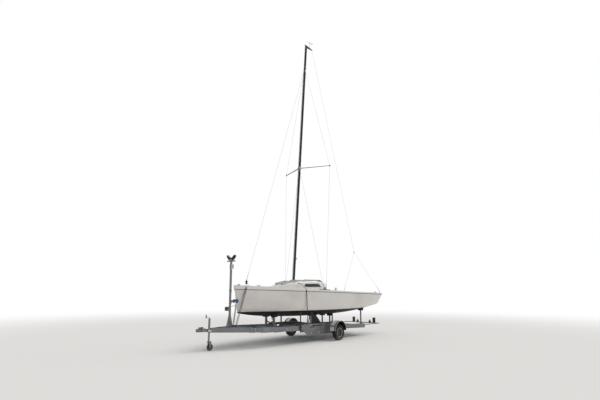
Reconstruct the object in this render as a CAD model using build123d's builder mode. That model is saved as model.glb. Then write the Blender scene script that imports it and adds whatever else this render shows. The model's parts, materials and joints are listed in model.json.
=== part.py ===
from build123d import *
import os
from math import atan, cos, degrees, radians, sin, tan

os.makedirs("parts", exist_ok=True)

# Frame: X runs aft, port is -Y, Z is up and the ground is Z = 0. Lengths are in millimetres.
# A place along the boat is given by its distance ahead of the wheels' centres.
coupling_nose = 5110
lamp_aft = 3250
axle_x = (coupling_nose - lamp_aft) / 2

# Cutting forms run past the piece that they cut, from under the hull to over the roof
beyond = 400
under_hull = 600
over_roof = 2400

# Hull and deck mouldings
shell_wall = 24
deck_wall = 20
deck_camber = 60
stem_rake = 9.0
joint_bow = 1722
joint_stern = 1530
cavity_reach = 0.7
cavity_nose_radius = 150
# ahead, half_beam, sheer, chine_y, chine_z, keel, bilge_radius, rake
hull_stations = [
    (-3162, 985, 1580, 745, 1175, 960, 150, 0),
    (-2050, 1062, 1600, 862, 1048, 862, 225, 0),
    (-900, 1110, 1634, 918, 970, 815, 300, 0),
    (300, 1122, 1676, 915, 934, 804, 350, 0),
    (1500, 965, 1730, 715, 955, 825, 350, 0),
    (2700, 565, 1790, 340, 1050, 884, 240, 0),
    (3768, 15, 1840, 10, 1160, 1000, 300, stem_rake),
]
transom_ahead, transom_half_beam, transom_sheer = hull_stations[0][:3]
stem_ahead, _, stem_sheer = hull_stations[-1][:3]
midship_half_beam = max(row[1] for row in hull_stations)

# Coachroof: ahead, base_half, top_half, top_z
coachroof_stations = [
    (2240, 100, 70, 1822),
    (1800, 350, 285, 1893),
    (1250, 525, 440, 1992),
    (700, 600, 505, 2030),
    (150, 625, 520, 2024),
    (-50, 628, 512, 1985),
]
coachroof_foot = 1665
coachroof_shoulder = 45
crown_angle = 8.0
crown_start = 60
roof_aft = coachroof_stations[-1][0]

# Side windows, as ahead and height
window_outline = [(1065, 1838), (1000, 1900), (360, 1906), (265, 1815), (1010, 1812)]
window_corner = 12
window_inside = 300

# Cockpit
well_front = -270
well_half = 610
well_wall = 20
sole_z = 1275

# Companionway hatch
companion_half = 255
companion_front = 370
companion_sill = 1728
hatch_overhang = 25
hatch_aft = roof_aft - 12
hatch_length = 500
hatch_travel = 400
hatch_thick = 18
hatch_corner = 18
hatch_lift = 5.5
hatch_tongue = 6
tongue_low = 5
tongue_thick = 8
hatch_gap = 1.0
grip_half = 150
grip_width = 30
grip_height = 8
rail_width = 22
rail_top = 24
rail_spare = 20

# Clearances between a piece and its seat, and round a shaft
seat_gap = 0.3
shaft_gap = 0.1

# Forehatch
forehatch_ahead = 1575
forehatch_size = 470
forehatch_clear = 400
forehatch_coaming = 24.5
forehatch_lip = 10
forehatch_frame_thick = 18
frame_corner = 45
rim_corner = 40
pane_corner = 30
pane_inset = 2
coaming_depth = 30
hinge_radius = 8
hinge_pin = 3
hinge_ahead = 9
hinge_height = 9
hinge_places = (-140, 140)
knuckle_width = 34
bracket_width = 10
bracket_gap = 0.5

# Keel: the fin hangs in its trunk, and its foot sweeps aft into the bulb
fin_front = 260
fin_chord = 420
fin_thick = 52
fin_head = 1640
fin_straight_foot = 760
fin_heel = 520
heel_reach = 240
root_slim = 6
root_inset = 40
trunk_gap = 9
trunk_wall = 16
trunk_top = 1665
bulb_front = 100
bulb_length = 1000
bulb_radius = 125
bulb_z = 366
bulb_nose_share = 0.38
bulb_tail = 12

# Mast
mast_foot_ahead = 1080
mast_foot_z = 2048
mast_head_ahead = 376
mast_head_z = 11410
mast_chord = 106
mast_width = 74
mast_wall = 3.5
mast_rise = mast_head_z - mast_foot_z
mast_rake = degrees(atan((mast_foot_ahead - mast_head_ahead) / mast_rise))
step_length = 220
step_width = 130
step_thick = 60
spreader_z = 6190
spreader_half = 1100
spreader_sweep = 440
spreader_chord = 74
spreader_thick = 20
spreader_taper = 0.65
spreader_root = 12
crane_reach = 385
crane_half = 16
crane_overhang = 8
crane_top = 30
crane_end_top = 8
crane_end_low = -14
crane_throat = -64

# Gooseneck: two cheeks that take the boom's cross pin
gooseneck_z = 2800
gooseneck_bore = 5.0
goose_reach = 22
goose_half = 22
goose_slot = 12
goose_height = 30
goose_corner = 20

# Wind vane
vane_staff_share = 0.62
vane_height = 250
staff_radius = 5
vane_collar = 13
vane_drop = 30
vane_collar_height = 24
vane_bar = 8
vane_half = 3
vane_nose = 178
vane_tail = 158
fin_height = 44
fin_length = 70

# Standing rigging
stay_radius = 3.0
hounds_z = 10270
forestay_deck = 3280
chainplate_ahead = 470
chainplate_y = 985
lower_plate_ahead = 530
lower_plate_y = 930
lower_shroud_drop = 90
chainplate_half = 16
plate_half_thick = 4
chainplate_top = 1745
quarter_inset = 90
quarter_ahead = 70
quarter_top = 1662
bridle_ahead = -2650
bridle_z = 3250

# Furler drum, as radius and height over its foot
drum_foot = 1868
drum_profile = [(0, 0), (14, 0), (14, 22), (62, 22), (62, 30), (30, 34), (30, 86), (62, 90), (62, 98),
                (22, 104), (16, 142), (0, 142)]
tack_z = drum_foot + drum_profile[-1][1]

# Sheet winches, as radius and height over their foot
sheet_winch_ahead = -330
sheet_winch_y = 790
sheet_winch_foot = 1660
sheet_winch_profile = [(0, 0), (48, 0), (48, 52), (34, 62), (30, 92), (40, 112), (40, 122), (0, 122)]

# Tracks
jib_track_rear = -20
jib_track_front = 560
jib_track_y = 760
jib_track_half = 14
jib_track_low = 1650
# The top of the jib tracks along the side deck, as ahead and height
jib_track_top = [(700, 1738), (-100, 1714)]
traveller_ahead = -1460
traveller_half = 20
traveller_lift = 60
traveller_thick = 18
traveller_foot = 30
traveller_foot_inset = 60

# Rudder gudgeons
gudgeon_bore = 5.0
gudgeon_heights = (1080, 1215)
gudgeon_reach = 62
gudgeon_pin = 42
gudgeon_half = 16
gudgeon_corner = 12
gudgeon_half_height = 14

# Trailer frame: its top edge rises towards the coupling
frame_top_axle = 495
frame_rise = 0.0288
rail_spacing = 1500
rail_depth = 150
rail_flange = 60
rail_plate = 7
rail_front = 3300
rail_rear = -2150
beam_side = 70
crossbeam_places = (3150, 2220, 980, 450, -1050, -2000)
drawbar_apex = 4560
drawbar_side = 80
drawbar_nose = 4950
leg_inset = 12
leg_breadth = 92
leg_overlap = 60
rail_outer = (rail_spacing + rail_flange) / 2
rail_inner = (rail_spacing - rail_flange) / 2
web_inner = rail_outer - rail_plate

# Side plates, as ahead and height
side_plate_thick = 8
side_plate_corner = 14
side_plate_outline = [
    (1560, 440), (1530, 548), (1370, 572), (200, 566), (-430, 483), (-430, 360), (-260, 215), (1230, 215),
]
plate_slot = (1000, 470)
plate_slot_length = 230
plate_slot_height = 44
plate_holes = [(1050, 292), (640, 292)]
plate_hole_radius = 26

# Coupling head
ball_radius = 25.3
ball_back = 38
head_plate = 12
head_half = 38
nose_half = 30
head_overlap = 150
head_shoulder = 40
head_neck = 70
head_drop = 36
lever_half = 8
lever_height = 44

# Running gear
track = 2250
tyre_radius = 260
tyre_width = 157
tyre_shoulder = 30
tyre_bulge = 14
tread_drop = 10
bead_rise = 24
rim_radius = 152
rim_width = 124
rim_plate = 5
rim_flange = 12
rim_well = 24
rim_slots = 12
slot_length = 22
slot_height = 12
wheel_z = tyre_radius
hub_length = 150
hub_cap = 45
hub_pilot = 31
hub_flange_radius = 70
hub_flange = 10
hub_barrel = 44
hub_floor = 14
drum_radius = 102
drum_length = 52
stub_radius = 20
stub_short = 22
arm_ahead = 215
arm_z = 310
arm_thick = 30
arm_corner = 20
axle_side = 70
axle_end = 980
side_gap = 5

# Mudguards: an arch about a centre over the wheel's own
guard_lift = 90
guard_radius = 300
guard_plate = 5
guard_width = 236
guard_foot = 320
guard_lip = 22
guard_z = wheel_z + guard_lift
guard_start = (track - guard_width) / 2
stay_angles = (25, 155)
stay_plate = 12
stay_breadth = 44
stay_short = 20

# Bow post with its braces, crutch, chock and winch
post_ahead = 3925
post_side = 50
post_top = 2560
post_plate_half = 150
post_plate_low = 35
brace_join = 1010
brace_reach = 105
brace_half = 18
crutch_half = 165
crutch_foot = 40
crutch_spread = 190
crutch_rise = 190
crutch_depth = 26
crutch_valley = 52
horn_width = 50
chock_z = 1365
chock_half = 60
chock_width = 170
chock_aft = 70
chock_corner = 22
chock_arm_half = 25
winch_z = 1140
winch_half = 60
winch_reach = 120
winch_plate = 6
winch_axis = 70
winch_drum = 30
winch_shaft = 11
winch_shaft_end = 89
crank_length = 190
crank_width = 20
crank_thick = 10
crank_grip = 14
crank_grip_length = 90
crank_boss = 10

# Keel trough, saddles and supports
trough_front = 150
trough_rear = -950
trough_half = 160
trough_plate = 6
trough_side = 105
trough_under_bulb = 26
trough_z = bulb_z - bulb_radius - trough_under_bulb
hanger_half = 30
hanger_thick = 10
hanger_drop = 6
hanger_lap = 20
hanger_height = 50
saddle_length = 110
saddle_inset = 30
saddle_places = (-120, -620)
support_side = 40
pad_length = 180
pad_width = 130
pad_height = 34
pad_seat = 25
pad_reach = 70
trough_post_y = trough_half + support_side / 2

# Light bar and lamps
light_bar_side = 28
light_bar_z = 388
light_arm_inset = 20
lamp_y = 500
lamp_half = 55
lamp_depth = 42
lamp_low = 380
lamp_top = 595
lamp_corner = 12

# Jockey wheel
jockey_ahead = 4740
jockey_y = -92
jockey_radius = 100
jockey_width = 52
jockey_tube_radius = 30
jockey_wall = 4
jockey_travel = 200
jockey_trail = 45
jockey_axle = 9
jockey_hub = 38
jockey_groove = 64
jockey_dish = 8
jockey_shoulder = 12
leg_foot = 262
leg_guide = 20
tube_low = leg_foot + jockey_travel + 10
tube_high = 880
cap_thick = 12
screw_radius = 12
screw_height = 30
handle_reach = 130
handle_half = 10
handle_thick = 12
clamp_half = 30
clamp_height = 28
fork_half = 38
fork_plate = 6
fork_crown = 8
fork_front = 28
fork_reach = 26
fork_tip = 22
fork_low = 80


def x_at(ahead):
    return axle_x - ahead


# Height of the joint between the hull and the deck
def joint_z(ahead):
    share = (ahead - transom_ahead) / (stem_ahead - transom_ahead)
    return joint_stern + share * (joint_bow - joint_stern)


def frame_top(ahead):
    return frame_top_axle + frame_rise * ahead


def frame_middle(ahead):
    return frame_top(ahead) - rail_depth / 2


def export(piece, name):
    piece.part.label = name
    export_step(piece.part, f"parts/{name}.step")


# An upright box given by its limits ahead of the axle, across and in height
def block(ahead_low, ahead_high, y_low, y_high, z_low, z_high, mode=Mode.ADD):
    with BuildSketch(Plane.XY.offset(z_low)) as base:
        with Locations((x_at((ahead_low + ahead_high) / 2), (y_low + y_high) / 2)):
            Rectangle(ahead_high - ahead_low, y_high - y_low)
    extrude(base.sketch, amount=z_high - z_low, mode=mode)


# An outline of places ahead and heights, carried across from one side to the other
def side_form(points, y_low, y_high, mode=Mode.ADD, corner=0):
    with BuildSketch(Plane.XZ.offset(-y_high)) as outline:
        with BuildLine():
            Polyline(*[(x_at(ahead), z) for ahead, z in points], close=True)
        make_face()
        if corner:
            fillet(vertices(), radius=corner)
    extrude(outline.sketch, amount=y_high - y_low, mode=mode)


# An outline of places ahead and across, carried up from one height to another
def plan_form(points, z_low, z_high, mode=Mode.ADD):
    with BuildSketch(Plane.XY.offset(z_low)) as outline:
        with BuildLine():
            Polyline(*[(x_at(ahead), y) for ahead, y in points], close=True)
        make_face()
    extrude(outline.sketch, amount=z_high - z_low, mode=mode)


def upright_bar(ahead, y, z_low, z_high, radius, mode=Mode.ADD):
    with BuildSketch(Plane.XY.offset(z_low)) as ring:
        with Locations((x_at(ahead), y)):
            Circle(radius)
    extrude(ring.sketch, amount=z_high - z_low, mode=mode)


def cross_bar(ahead, z, y_low, y_high, radius, mode=Mode.ADD):
    with BuildSketch(Plane.XZ.offset(-y_high)) as ring:
        with Locations((x_at(ahead), z)):
            Circle(radius)
    extrude(ring.sketch, amount=y_high - y_low, mode=mode)


# A straight round bar between two points
def round_bar(start, end, radius):
    line = Vector(*end) - Vector(*start)
    with BuildSketch(Plane(origin=start, z_dir=line.normalized())) as section:
        Circle(radius)
    extrude(section.sketch, amount=line.length)


# An outline of radii and heights, turned about an upright line
def turned_form(points, ahead, y):
    foot = (x_at(ahead), y, 0)
    with BuildSketch(Plane(origin=foot, x_dir=(1, 0, 0), z_dir=(0, -1, 0))) as outline:
        with BuildLine():
            Polyline(*points, close=True)
        make_face()
    revolve(outline.sketch, axis=Axis(foot, (0, 0, 1)))


# A section plane through the given place and height, its top leaning forward by the rake
def section_plane(ahead, z, rake):
    lean = radians(rake)
    return Plane(origin=(x_at(ahead), 0, z), x_dir=(0, 1, 0), z_dir=(cos(lean), 0, sin(lean)))


# One cross-section of the hull, closed over the top by the deck's camber
def hull_section(ahead, half_beam, sheer, chine_y, chine_z, keel, radius, rake, wall=0):
    up = 1 / cos(radians(rake))
    edge = half_beam - wall
    edge_z = -wall * up if wall else 0
    chine = (chine_y - wall, (chine_z + wall - sheer) * up)
    crown = deck_camber * half_beam / midship_half_beam
    with BuildSketch(section_plane(ahead, sheer, rake)) as section:
        with BuildLine():
            FilletPolyline((0, (keel + wall - sheer) * up), chine, (edge, edge_z), radius=radius)
            mirror(about=Plane.YZ)
            ThreePointArc((-edge, edge_z), (0, edge_z + crown), (edge, edge_z))
        make_face()
    return section.sketch


# One cross-section of the coachroof: leaning sides, rounded shoulders and a crowned top
def coachroof_section(ahead, base_half, top_half, top_z, wall=0):
    start = min(crown_start, top_half * 0.8)
    arc_half = top_half - wall - start
    arc_z = top_z - wall - arc_half * tan(radians(crown_angle / 2))
    shoulder_z = arc_z - start * tan(radians(crown_angle))
    foot = coachroof_foot - (2 * deck_wall if wall else 0)
    with BuildSketch(section_plane(ahead, 0, 0)) as section:
        with BuildLine():
            FilletPolyline(
                (base_half - wall, foot),
                (top_half - wall, shoulder_z),
                (arc_half, arc_z),
                radius=min(coachroof_shoulder, (shoulder_z - coachroof_foot) / 2),
            )
            mirror(about=Plane.YZ)
            ThreePointArc((arc_half, arc_z), (0, top_z - wall), (-arc_half, arc_z))
            Line((base_half - wall, foot), (wall - base_half, foot))
        make_face()
    return section.sketch


# The outer form of hull and deck together
with BuildPart() as envelope:
    for row in hull_stations:
        add(hull_section(*row))
    loft()

# The space inside it ends in a rounded section part of the way from the last full station to the stem
nose_row = [
    last + (stem - last) * cavity_reach for last, stem in zip(hull_stations[-2], hull_stations[-1])
]
nose_row[-2:] = [cavity_nose_radius, 0]
with BuildPart() as cavity:
    for row in [*hull_stations[:-1], nose_row]:
        add(hull_section(*row, wall=shell_wall))
    loft()
    block(transom_ahead - shell_wall, transom_ahead + shell_wall, -midship_half_beam, midship_half_beam,
          under_hull, over_roof, mode=Mode.SUBTRACT)

with BuildPart() as coachroof_form:
    for row in coachroof_stations:
        add(coachroof_section(*row))
    loft()

coachroof_inner = [list(row) for row in coachroof_stations[1:]]
coachroof_inner[0][0] -= deck_wall
coachroof_inner[-1][0] += deck_wall
with BuildPart() as coachroof_space:
    for row in coachroof_inner:
        add(coachroof_section(*row, wall=deck_wall))
    loft()

with BuildPart() as trunk_form:
    trunk_slot = fin_thick / 2 + trunk_gap
    block(fin_front - fin_chord - trunk_gap - trunk_wall, fin_front + trunk_gap + trunk_wall,
          -trunk_slot - trunk_wall, trunk_slot + trunk_wall, under_hull, trunk_top)

with BuildPart() as well_form:
    block(transom_ahead, well_front + well_wall, -well_half - well_wall, well_half + well_wall,
          sole_z - well_wall, over_roof)
    add(envelope.part, mode=Mode.INTERSECT)

# Hull moulding, up to the joint with the deck
joint_ends = [(ahead, joint_z(ahead)) for ahead in (stem_ahead + beyond, transom_ahead - beyond)]
cut_half = midship_half_beam + beyond
with BuildPart() as hull:
    add(envelope.part)
    add(cavity.part, mode=Mode.SUBTRACT)
    side_form([*joint_ends, (transom_ahead - beyond, under_hull), (stem_ahead + beyond, under_hull)],
              -cut_half, cut_half, mode=Mode.INTERSECT)
    add(well_form.part, mode=Mode.SUBTRACT)
    add(trunk_form.part, mode=Mode.SUBTRACT)
export(hull, "hull")

# Deck moulding with coachroof, cockpit well, hatch rim and companionway
(roof_low_ahead, _, _, roof_low), (roof_high_ahead, _, _, roof_high) = coachroof_stations[1:3]
roof_grade = (roof_high - roof_low) / (roof_low_ahead - roof_high_ahead)
hatch_slope = atan(roof_grade)
hatch_plane = Plane(
    origin=(x_at(forehatch_ahead), 0,
            roof_low + (roof_low_ahead - forehatch_ahead) * roof_grade + forehatch_coaming),
    x_dir=(cos(hatch_slope), 0, sin(hatch_slope)),
    z_dir=(-sin(hatch_slope), 0, cos(hatch_slope)),
)
with BuildPart() as window_cutters:
    side_form(window_outline, window_inside, midship_half_beam, corner=window_corner)
    mirror(about=Plane.XZ)

with BuildPart() as deck:
    add(envelope.part)
    add(cavity.part, mode=Mode.SUBTRACT)
    side_form([*joint_ends, (transom_ahead - beyond, over_roof), (stem_ahead + beyond, over_roof)],
              -cut_half, cut_half, mode=Mode.INTERSECT)
    add(coachroof_form.part)
    with BuildSketch(hatch_plane.offset(-coaming_depth)):
        RectangleRounded(forehatch_size - 2 * forehatch_lip, forehatch_size - 2 * forehatch_lip, rim_corner)
    extrude(amount=coaming_depth)
    add(coachroof_space.part, mode=Mode.SUBTRACT)
    add(well_form.part)
    block(transom_ahead - well_wall, well_front, -well_half, well_half, sole_z, over_roof,
          mode=Mode.SUBTRACT)
    with BuildSketch(hatch_plane):
        RectangleRounded(forehatch_clear, forehatch_clear, pane_corner)
    extrude(amount=forehatch_clear / 2, both=True, mode=Mode.SUBTRACT)
    block(roof_aft - deck_wall, companion_front, -companion_half, companion_half, companion_sill, over_roof,
          mode=Mode.SUBTRACT)
    add(window_cutters.part, mode=Mode.SUBTRACT)
export(deck, "deck")

with BuildPart() as windows:
    add(coachroof_form.part)
    add(coachroof_space.part, mode=Mode.SUBTRACT)
    add(window_cutters.part, mode=Mode.INTERSECT)
export(windows, "windows")

# Companionway hatch: a flat lid whose tongues run in two grooved rails on the roof
hatch_half = companion_half + hatch_overhang
hatch_low = coachroof_form.part.bounding_box().max.Z + hatch_lift
hatch_front = hatch_aft + hatch_length
with BuildPart() as hatch_rails:
    for side in (-1, 1):
        inner = side * (hatch_half + hatch_gap)
        outer = inner + side * rail_width
        groove = inner + side * (hatch_tongue + hatch_gap)
        block(roof_aft, hatch_front + hatch_travel + rail_spare, min(inner, outer), max(inner, outer),
              coachroof_foot, hatch_low + rail_top)
        block(roof_aft, hatch_front + hatch_travel + rail_spare, min(inner, groove), max(inner, groove),
              hatch_low + tongue_low - seat_gap, hatch_low + tongue_low + tongue_thick + hatch_gap,
              mode=Mode.SUBTRACT)
    add(coachroof_form.part, mode=Mode.SUBTRACT)
export(hatch_rails, "hatch_rails")

with BuildPart() as companionway_hatch:
    block(hatch_aft, hatch_front, -hatch_half, hatch_half, hatch_low, hatch_low + hatch_thick)
    fillet(edges().filter_by(Axis.Z), radius=hatch_corner)
    block(hatch_aft + hatch_corner, hatch_front - hatch_corner, -hatch_half - hatch_tongue,
          hatch_half + hatch_tongue, hatch_low + tongue_low, hatch_low + tongue_low + tongue_thick)
    block(hatch_aft + grip_width, hatch_aft + 2 * grip_width, -grip_half, grip_half,
          hatch_low + hatch_thick, hatch_low + hatch_thick + grip_height)
export(companionway_hatch, "companionway_hatch")

# Forehatch: an aluminium frame round an acrylic pane, hinged on its forward edge
lid_plane = hatch_plane.offset(seat_gap)
hinge_reach = forehatch_size / 2 + hinge_ahead


# The hinge's side view, seen along its pin, with its near face at the given place across
def hinge_view(y):
    return Plane(origin=hatch_plane.origin + Vector(0, y, 0), x_dir=hatch_plane.x_dir, z_dir=(0, 1, 0))


with BuildPart() as forehatch_frame:
    with BuildSketch(lid_plane):
        RectangleRounded(forehatch_size, forehatch_size, frame_corner)
    extrude(amount=forehatch_frame_thick)
    for place in hinge_places:
        with BuildSketch(hinge_view(place - knuckle_width / 2)):
            with Locations((-hinge_reach, -hinge_height)):
                Circle(hinge_radius)
            with Locations((-hinge_reach + hinge_ahead, -hinge_height)):
                Rectangle(2 * hinge_ahead, hinge_radius)
        extrude(amount=knuckle_width)
        with BuildSketch(hinge_view(place - knuckle_width)):
            with Locations((-hinge_reach, -hinge_height)):
                Circle(hinge_pin + shaft_gap)
        extrude(amount=2 * knuckle_width, mode=Mode.SUBTRACT)
    with BuildSketch(lid_plane):
        RectangleRounded(forehatch_clear, forehatch_clear, pane_corner)
    extrude(amount=forehatch_frame_thick, mode=Mode.SUBTRACT)
export(forehatch_frame, "forehatch_frame")

# Each of the lid's knuckles turns on a pin between two ears that stand on the roof
ear_span = knuckle_width / 2 + bracket_gap + bracket_width
ear_depth = 2 * hinge_radius + hinge_height
with BuildPart() as forehatch_hinges:
    for place in hinge_places:
        with BuildSketch(hinge_view(place - ear_span)):
            with Locations((-hinge_reach, -hinge_height)):
                Circle(hinge_radius)
            with Locations((-hinge_reach, hinge_radius * 2)):
                Rectangle(2 * hinge_radius, 2 * ear_depth)
        extrude(amount=2 * ear_span)
        with BuildSketch(hinge_view(place - ear_span + bracket_width)):
            with Locations((-hinge_reach, 0)):
                Rectangle(4 * hinge_radius, 4 * ear_depth)
        extrude(amount=2 * (ear_span - bracket_width), mode=Mode.SUBTRACT)
        with BuildSketch(hinge_view(place - ear_span)):
            with Locations((-hinge_reach, -hinge_height)):
                Circle(hinge_pin)
        extrude(amount=2 * ear_span)
    add(coachroof_form.part, mode=Mode.SUBTRACT)
export(forehatch_hinges, "forehatch_hinges")

with BuildPart() as forehatch_pane:
    with BuildSketch(lid_plane.offset(pane_inset)):
        RectangleRounded(forehatch_clear, forehatch_clear, pane_corner)
    extrude(amount=forehatch_frame_thick - 2 * pane_inset)
export(forehatch_pane, "forehatch_pane")

# Keel: a lifting fin in its trunk, with a bulb carried well aft of the fin
fin_rear = fin_front - fin_chord
with BuildPart() as keel_bulb:
    with BuildSketch(Plane(origin=(x_at(bulb_front), 0, bulb_z), x_dir=(1, 0, 0), z_dir=(0, -1, 0))):
        with BuildLine():
            shoulder = bulb_length * bulb_nose_share
            cheek = (shoulder * 0.12, bulb_radius * 0.5)
            ThreePointArc((0, 0), (shoulder * 0.026, bulb_radius * 0.27), cheek)
            TangentArc((shoulder, bulb_radius), cheek, tangent=(-1, 0))
            TangentArc((shoulder, bulb_radius), (bulb_length, bulb_tail), tangent=(1, 0))
            Polyline((bulb_length, bulb_tail), (bulb_length, 0), (0, 0))
        make_face()
    revolve(axis=Axis((x_at(bulb_front), 0, bulb_z), (1, 0, 0)))
export(keel_bulb, "keel_bulb")

# The fin is round in front, flat in the middle and tapers to a thin trailing edge
with BuildPart() as keel_fin:
    with BuildSketch(Plane.XY.offset(fin_straight_foot)):
        with BuildLine():
            front, rear, half = x_at(fin_front), x_at(fin_rear), fin_thick / 2
            bow = (front + 0.05 * fin_chord, 0.6 * half)
            flat_front, flat_rear = front + 0.3 * fin_chord, front + 0.55 * fin_chord
            ThreePointArc((front, 0), (front + 0.012 * fin_chord, 0.32 * half), bow)
            TangentArc((flat_front, half), bow, tangent=(-1, 0))
            Polyline((flat_front, half), (flat_rear, half), (rear, 0.15 * half), (rear, 0))
            mirror(about=Plane.XZ)
        make_face()
    extrude(amount=fin_head - fin_straight_foot)
    side_form([(fin_front, fin_straight_foot), (bulb_front - root_inset, bulb_z),
               (fin_rear - heel_reach, bulb_z), (fin_rear - heel_reach, fin_heel),
               (fin_rear, fin_straight_foot)],
              root_slim - fin_thick / 2, fin_thick / 2 - root_slim)
    add(keel_bulb.part, mode=Mode.SUBTRACT)
export(keel_fin, "keel_fin")

with BuildPart() as keel_trunk:
    add(trunk_form.part)
    block(fin_rear - trunk_gap, fin_front + trunk_gap, -trunk_slot, trunk_slot, under_hull, over_roof,
          mode=Mode.SUBTRACT)
    add(envelope.part, mode=Mode.INTERSECT)
export(keel_trunk, "keel_trunk")

# Mast: a tapered alloy tube leaning aft, with everything that hangs on it placed along its axis
mast_up = Vector(sin(radians(mast_rake)), 0, cos(radians(mast_rake)))
mast_plane = Plane(origin=(x_at(mast_foot_ahead), 0, mast_foot_z), x_dir=(0, 1, 0), z_dir=mast_up)
mast_length = mast_rise / cos(radians(mast_rake))


def mast_ahead(z):
    return mast_foot_ahead - (z - mast_foot_z) * tan(radians(mast_rake))


with BuildPart() as mast_form:
    with BuildSketch(mast_plane):
        Ellipse(mast_width / 2, mast_chord / 2)
    extrude(amount=mast_length)

with BuildPart() as mast:
    add(mast_form.part)
    with BuildSketch(mast_plane):
        Ellipse(mast_width / 2 - mast_wall, mast_chord / 2 - mast_wall)
    extrude(amount=mast_length, mode=Mode.SUBTRACT)
export(mast, "mast")

with BuildPart() as mast_step:
    block(mast_foot_ahead - step_length / 2, mast_foot_ahead + step_length / 2, -step_width / 2,
          step_width / 2, mast_foot_z - step_thick, mast_foot_z + step_thick)
    fillet(edges().filter_by(Axis.Z), radius=mast_chord / 5)
    with BuildSketch(mast_plane):
        Rectangle(2 * step_length, 2 * step_length)
    extrude(amount=2 * step_thick, mode=Mode.SUBTRACT)
    add(coachroof_form.part, mode=Mode.SUBTRACT)
export(mast_step, "mast_step")

crane_plane = Plane(origin=mast_plane.origin + mast_plane.z_dir * mast_length, x_dir=-mast_plane.y_dir,
                    z_dir=(0, -1, 0))
with BuildPart() as masthead_crane:
    with BuildSketch(crane_plane):
        with BuildLine():
            Polyline(
                (-mast_chord / 2 - crane_overhang, 0),
                (-mast_chord / 2 - crane_overhang, crane_top),
                (mast_chord / 2, crane_top),
                (crane_reach, crane_end_top),
                (crane_reach, crane_end_low),
                (mast_chord / 2 + shaft_gap, crane_throat),
                (mast_chord / 2 + shaft_gap, 0),
                close=True,
            )
        make_face()
    extrude(amount=crane_half, both=True)
export(masthead_crane, "masthead_crane")

spreader_ahead = mast_ahead(spreader_z)
tip_ahead = spreader_ahead - spreader_sweep
with BuildPart() as spreaders:
    for side in (-1, 1):
        root = Vector(x_at(spreader_ahead), side * (mast_width / 2 - spreader_root), spreader_z)
        tip = Vector(x_at(tip_ahead), side * spreader_half, spreader_z)
        along = (tip - root).normalized()
        with BuildSketch(Plane(origin=root, x_dir=(0, 0, 1), z_dir=along)):
            Ellipse(spreader_thick / 2, spreader_chord / 2)
        with BuildSketch(Plane(origin=tip, x_dir=(0, 0, 1), z_dir=along)):
            Ellipse(spreader_thick / 2 * spreader_taper, spreader_chord / 2 * spreader_taper)
        loft()
    add(mast_form.part, mode=Mode.SUBTRACT)
export(spreaders, "spreaders")

with BuildPart() as gooseneck:
    pin_ahead = mast_ahead(gooseneck_z) - mast_chord / 2 - goose_reach - gooseneck_bore
    block(pin_ahead - goose_corner, mast_ahead(gooseneck_z), -goose_half, goose_half,
          gooseneck_z - goose_height, gooseneck_z + goose_height)
    fillet(edges().filter_by(Axis.Y).group_by(Axis.X)[-1], radius=goose_corner)
    block(pin_ahead - 2 * goose_corner, pin_ahead + goose_corner, -goose_slot, goose_slot,
          gooseneck_z - 2 * goose_height, gooseneck_z + 2 * goose_height, mode=Mode.SUBTRACT)
    cross_bar(pin_ahead, gooseneck_z, -goose_half, goose_half, gooseneck_bore, mode=Mode.SUBTRACT)
    add(mast_form.part, mode=Mode.SUBTRACT)
export(gooseneck, "gooseneck")

# Wind vane on its staff at the masthead crane
staff_ahead = mast_head_ahead - crane_reach * vane_staff_share
staff_top = mast_head_z + vane_height
vane_middle = staff_top - vane_drop + vane_collar_height / 2
with BuildPart() as vane_staff:
    upright_bar(staff_ahead, 0, mast_head_z + crane_end_low, staff_top, staff_radius)
    add(masthead_crane.part, mode=Mode.SUBTRACT)
export(vane_staff, "vane_staff")

with BuildPart() as wind_vane:
    side_form([(staff_ahead - vane_tail, vane_middle - vane_bar / 2),
               (staff_ahead + vane_nose, vane_middle - vane_bar / 2),
               (staff_ahead + vane_nose, vane_middle + vane_bar / 2),
               (staff_ahead - vane_tail + fin_length, vane_middle + vane_bar / 2),
               (staff_ahead - vane_tail + fin_length / 2, vane_middle + fin_height),
               (staff_ahead - vane_tail, vane_middle + fin_height)], -vane_half, vane_half)
    upright_bar(staff_ahead, 0, staff_top - vane_drop, staff_top - vane_drop + vane_collar_height,
                vane_collar)
    upright_bar(staff_ahead, 0, staff_top - vane_height, staff_top + vane_drop,
                staff_radius + seat_gap, mode=Mode.SUBTRACT)
export(wind_vane, "wind_vane")

# Standing rigging, chainplates and bow gear
with BuildPart() as furler_drum:
    turned_form([(radius, drum_foot + z) for radius, z in drum_profile], forestay_deck, 0)
export(furler_drum, "furler_drum")

with BuildPart() as forestay:
    round_bar((x_at(forestay_deck), 0, tack_z),
              (x_at(mast_ahead(hounds_z)) - mast_chord / 2 - shaft_gap, 0, hounds_z), stay_radius)
    add(mast_form.part, mode=Mode.SUBTRACT)
    add(furler_drum.part, mode=Mode.SUBTRACT)
export(forestay, "forestay")

quarter_y = transom_half_beam - quarter_inset
quarter_place = transom_ahead + quarter_ahead
with BuildPart() as chainplates:
    for side in (-1, 1):
        for ahead, y, top in ((chainplate_ahead, chainplate_y, chainplate_top),
                              (lower_plate_ahead, lower_plate_y, chainplate_top),
                              (quarter_place, quarter_y, quarter_top)):
            block(ahead - chainplate_half, ahead + chainplate_half, side * y - plate_half_thick,
                  side * y + plate_half_thick, transom_sheer - chainplate_half, top)
    add(envelope.part, mode=Mode.SUBTRACT)
export(chainplates, "chainplates")

tips = {side: (x_at(tip_ahead - shaft_gap), side * (spreader_half + stay_radius), spreader_z)
        for side in (-1, 1)}
with BuildPart() as cap_shrouds_upper:
    for side in (-1, 1):
        round_bar(tips[side], (x_at(mast_ahead(hounds_z)), side * mast_width / 2, hounds_z), stay_radius)
    add(mast_form.part, mode=Mode.SUBTRACT)
    add(spreaders.part, mode=Mode.SUBTRACT)
export(cap_shrouds_upper, "cap_shrouds_upper")

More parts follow.
